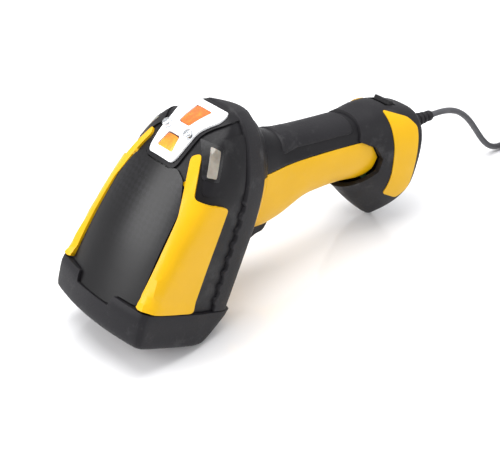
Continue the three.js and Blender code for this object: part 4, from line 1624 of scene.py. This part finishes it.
@dataclass
class TriggerUnit:
    """The trigger."""

    shop: Workshop
    hinge: Triple = (-66.0, 0.0, -24.5)
    half_width: float = 9.5
    outline: tuple[Pair, ...] = (
        (-69.8, -21.9), (-42, -21.9), (-40.5, -24.5), (-46.5, -31.5), (-52.5, -37.5),
        (-54.3, -41.8), (-59.5, -43.4), (-67.5, -43.4), (-69.6, -41))

    def build(self) -> None:
        """Builds the trigger as one rounded body."""
        points = rounded(self.outline, 2.6, 5)
        made = slab(points, self.half_width, 2.0)
        self.shop.piece("trigger_blade", made, Slot.RUBBER, Body.TRIGGER, ["trigger"],
                        edge_mm=1.2)


@dataclass
class LeadUnit:
    """The lead with its strain relief, coil and plug; the route is in the resting frame."""

    shop: Workshop
    gland_rake: float = math.radians(21)
    gland_base: Triple = (-119.5, 0.0, -129.0)
    gland_length: float = 43.0
    diameter: float = 4.0
    length: float = 2.0
    route: tuple[Triple, ...] = (
        (-0.3, 0, 51.2), (-6.3, 0, 50.7), (-12.3, 0, 49.9), (-18.3, 0.1, 48.5),
        (-24.3, 0.2, 46.2), (-30.3, 0.3, 42.8), (-36.3, 0.5, 38), (-42.3, 0.7, 31.8),
        (-47.8, 1, 25), (-53.3, 1.3, 17.9), (-59.3, 1.6, 11.2), (-65.8, 1.8, 6.1),
        (-73.3, 1.95, 3.2), (-83.3, 2, 2.3), (-92, 2, 2.3))
    coil_centre: Pair = (-100.3, 30.0)
    columns: tuple[float, ...] = (28.0, 24.0, 20.0)
    layers: tuple[float, ...] = (2.3, 6.3, 10.3, 14.3)
    outside: float = 32.6
    outside_height: float = 13.0
    crossing: float = 0.25
    sidestep: float = 1.5
    plug_start: Triple = (-81.5, 62.6, 4.8)

    @property
    def axis(self) -> Vector:
        """The direction that the gland points in, in the held frame."""
        return Vector((-math.sin(self.gland_rake), 0, -math.cos(self.gland_rake)))

    def turn_point(self, turn: float, radius: float, height: float) -> Triple:
        """Finds a point of the coil.

        Args:
            turn: turns made since the lead came in.
            radius: the distance from the coil's middle.
            height: the height over the floor.

        Returns:
            The point, with x measured from the gland's end.
        """
        angle = -math.pi / 2 - 2 * math.pi * turn
        return (self.coil_centre[0] + radius * math.cos(angle),
                self.coil_centre[1] + radius * math.sin(angle), height)

    def path(self) -> list[Triple]:
        """Returns the lead's points in millimetres, with x measured from the gland's end."""
        steps, down_steps = 24, 12
        inward = list(self.columns)
        radii = [r for k in range(len(self.layers)) for r in (inward if k % 2 == 0 else
                                                              inward[::-1])]
        heights = [z for z in self.layers for _ in self.columns]
        radii.append(self.outside)
        heights.append(self.outside_height)
        turns: list[Triple] = []
        for k in range(steps * (len(radii) - 1) + 1):
            index = min(k // steps, len(radii) - 2)
            blend = smooth((k / steps - index - (1 - self.crossing)) / self.crossing)
            radius = mix(radii[index], radii[index + 1], blend)
            if radii[index] == radii[index + 1]:
                side = -self.sidestep if radii[index] == min(radii) else self.sidestep
                radius += side * math.sin(math.pi * blend)
            turns.append(self.turn_point(k / steps, radius,
                                         mix(heights[index], heights[index + 1], blend)))
        down = [self.turn_point(k / steps, self.outside,
                                mix(self.outside_height, self.plug_start[2], k / down_steps))
                for k in range(1, down_steps + 1)]
        straight = [(self.plug_start[0] + x, self.plug_start[1], self.plug_start[2])
                    for x in (-12, -6, -0.3)]
        return list(self.route) + turns + down + straight

    def build(self) -> None:
        """Builds the lead as one smooth curve and logs its length."""
        tip = Vector(self.gland_base) + self.axis * self.gland_length
        start = (self.shop.rest.matrix @ tip).x * 1000
        points = [(x + start, y, z) for x, y, z in self.path()]
        count = len(points) * 2
        dense = [curve_at(points, k / (count - 1)) for k in range(count)]
        data = bpy.data.curves.new("lead", "CURVE")
        data.dimensions = "3D"
        data.bevel_depth = self.diameter / 2000
        data.bevel_resolution = 3
        data.use_fill_caps = True
        spline = data.splines.new("POLY")
        spline.points.add(count - 1)
        for target, point in zip(spline.points, dense):
            target.co = (point[0] / 1000, point[1] / 1000, point[2] / 1000, 1.0)
        lead = placed("lead", data)
        lead.data.materials.append(self.shop.paints.made[Slot.CABLE])
        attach(lead, Body.SCANNER.value)
        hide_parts("cable", "cable_coil", "cable_tail")
        run = sum(math.dist(a, b) for a, b in zip(dense, dense[1:])) / 1000
        LOG.info("lead: %.3f m", run)
        [c / 1000 for c in points[0]]

    def gland(self) -> None:
        """Builds the tapered strain relief with its ribs."""
        profile: list[Pair] = [(0, -0.5), (5.2, -0.5), (5.2, 11), (4.8, 13), (4.4, 28)]
        for rib in range(3):
            along = 29.0 + 4 * rib
            radius = 4.4 - 0.1 * (along - 29)
            profile += [(radius, along), (radius - 0.4, along + 0.5),
                        (radius - 1.3, along + 0.9), (radius - 1.3, along + 1.6),
                        (radius - 0.5, along + 2.0), (radius - 0.2, along + 2.5)]
        profile += [(3.4, 41.8), (3.0, 42.8), (2.6, 43.0), (0, 43.0)]
        body = spun(profile, Vector(self.gland_base), self.axis, 36)
        self.shop.piece("strain_relief", body,
                        Slot.RUBBER, replaces=["cable_gland"], sharp=50)


# ------------------------------------------------------------------ nodes that stay


KEPT: dict[Slot, tuple[str, ...]] = {
    Slot.BLACK: ("window_frame", "imager_block", "imager_lens_barrel", "sounder",
                 "switch_bracket", "switch_body", "lanyard_bar", "sole_plate",
                 "usb_plug_body"),
    Slot.GLASS: ("scan_window",),
    Slot.BOARD: ("illumination_board", "main_board", "lamp_board", "connector_board"),
    Slot.WHITE: ("illumination_lens_left", "illumination_lens_right", "cable_connector",
                 "switch_plunger"),
    Slot.STEEL: ("trigger_hinge_pin", "trigger_spring", "sole_screw_1", "sole_screw_2",
                 "sole_screw_3", "usb_plug_shell"),
}


# ------------------------------------------------------------------ studio


@dataclass(frozen=True)
class SoftBox:
    """A soft box: its place, aim and size in metres, and its power in watts."""

    name: str
    place: Triple
    aim: Triple
    size: Pair
    power: float


@dataclass
class Studio:
    """The camera, the lights and the sheet that the scanner lies on."""

    azimuth: float = math.radians(139.16)
    elevation: float = math.radians(33.10)
    lens: float = 79.2
    stand: Triple = (0.2829, 0.3962, 0.37155)
    surroundings: float = 0.72
    sheet_reach: float = 4.0
    boxes: tuple[SoftBox, ...] = (
        SoftBox("overhead box", (0.0, -0.05, 0.9), (0, 0, 0), (0.9, 0.7), 9.5),
        SoftBox("left box", (0.75, -0.35, 0.55), (0.05, 0, 0.04), (0.5, 0.5), 5.0),
        SoftBox("right box", (-0.35, 0.85, 0.45), (0, 0, 0.05), (0.5, 0.35), 2.5))

    def camera(self, rest: Rest) -> None:
        """Sets up the camera at its standing point.

        Args:
            rest: the resting pose, whose origin the standing point is measured from.
        """
        a, e = self.azimuth, self.elevation
        back = Vector((math.sin(a) * math.cos(e), -math.cos(a) * math.cos(e), math.sin(e)))
        right = Vector((math.cos(a), math.sin(a), 0))
        turn = Matrix((right, back.cross(right), back)).transposed().to_4x4()
        data = bpy.data.cameras.new("camera")
        data.lens = self.lens
        data.sensor_width = 36.0
        data.clip_start = 0.01
        camera = placed("camera", data)
        camera.matrix_world = Matrix.Translation(rest.origin + Vector(self.stand)) @ turn
        bpy.context.scene.camera = camera

    def lamp(self, box: SoftBox) -> None:
        """Adds one soft box, turned to what it lights."""
        data: Light = bpy.data.lights.new(box.name, "AREA")
        data.shape = "RECTANGLE"
        data.size, data.size_y = box.size
        data.energy = box.power
        way = Vector(box.place) - Vector(box.aim)
        placed(box.name, data).matrix_world = (
            Matrix.Translation(box.place) @ way.to_track_quat("Z", "Y").to_matrix().to_4x4())

    def light(self) -> None:
        """Adds the soft boxes and the pale surroundings."""
        world = bpy.data.worlds.new("studio")
        world.use_nodes = True
        shade = world.node_tree.nodes["Background"]
        shade.inputs["Color"].default_value = linear("fdfdff")
        shade.inputs["Strength"].default_value = self.surroundings
        bpy.context.scene.world = world
        bpy.context.scene.view_settings.view_transform = "Standard"
        for box in self.boxes:
            self.lamp(box)

    def floor(self) -> None:
        """Adds the sheet under the scanner."""
        made = bmesh.new()
        bmesh.ops.create_grid(made, x_segments=4, y_segments=4, size=self.sheet_reach)
        mesh = bpy.data.meshes.new("table sheet")
        made.to_mesh(mesh)
        made.free()
        mesh.materials.append(StudioSheet().material())
        placed("table_sheet", mesh)


def main() -> None:
    """Builds the scene."""
    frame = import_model()
    rest = Rest.read(frame)
    studio = Studio()
    studio.camera(rest)
    paints = Paints(rest)
    shop = Workshop(rest, paints)
    lead = LeadUnit(shop)
    lead.build()
    lead.gland()
    head, handle = HeadForm(), HandleForm()
    dense = head.loft(0.0, 9.0, columns=160, rows=140)
    skin = BVHTree.FromBMesh(dense)
    dense.free()
    HeadUnit(shop, head, skin).build()
    NoseUnit(shop).build()
    LampUnit(shop, skin).build()
    HandleUnit(shop, head, handle).build()
    FootUnit(shop, FootForm()).build()
    TriggerUnit(shop).build()
    for slot, names in KEPT.items():
        for name in names:
            paints.dress_node(frame["nodes"][name], slot)
    studio.floor()
    studio.light()


if __name__ == "__main__":
    main()
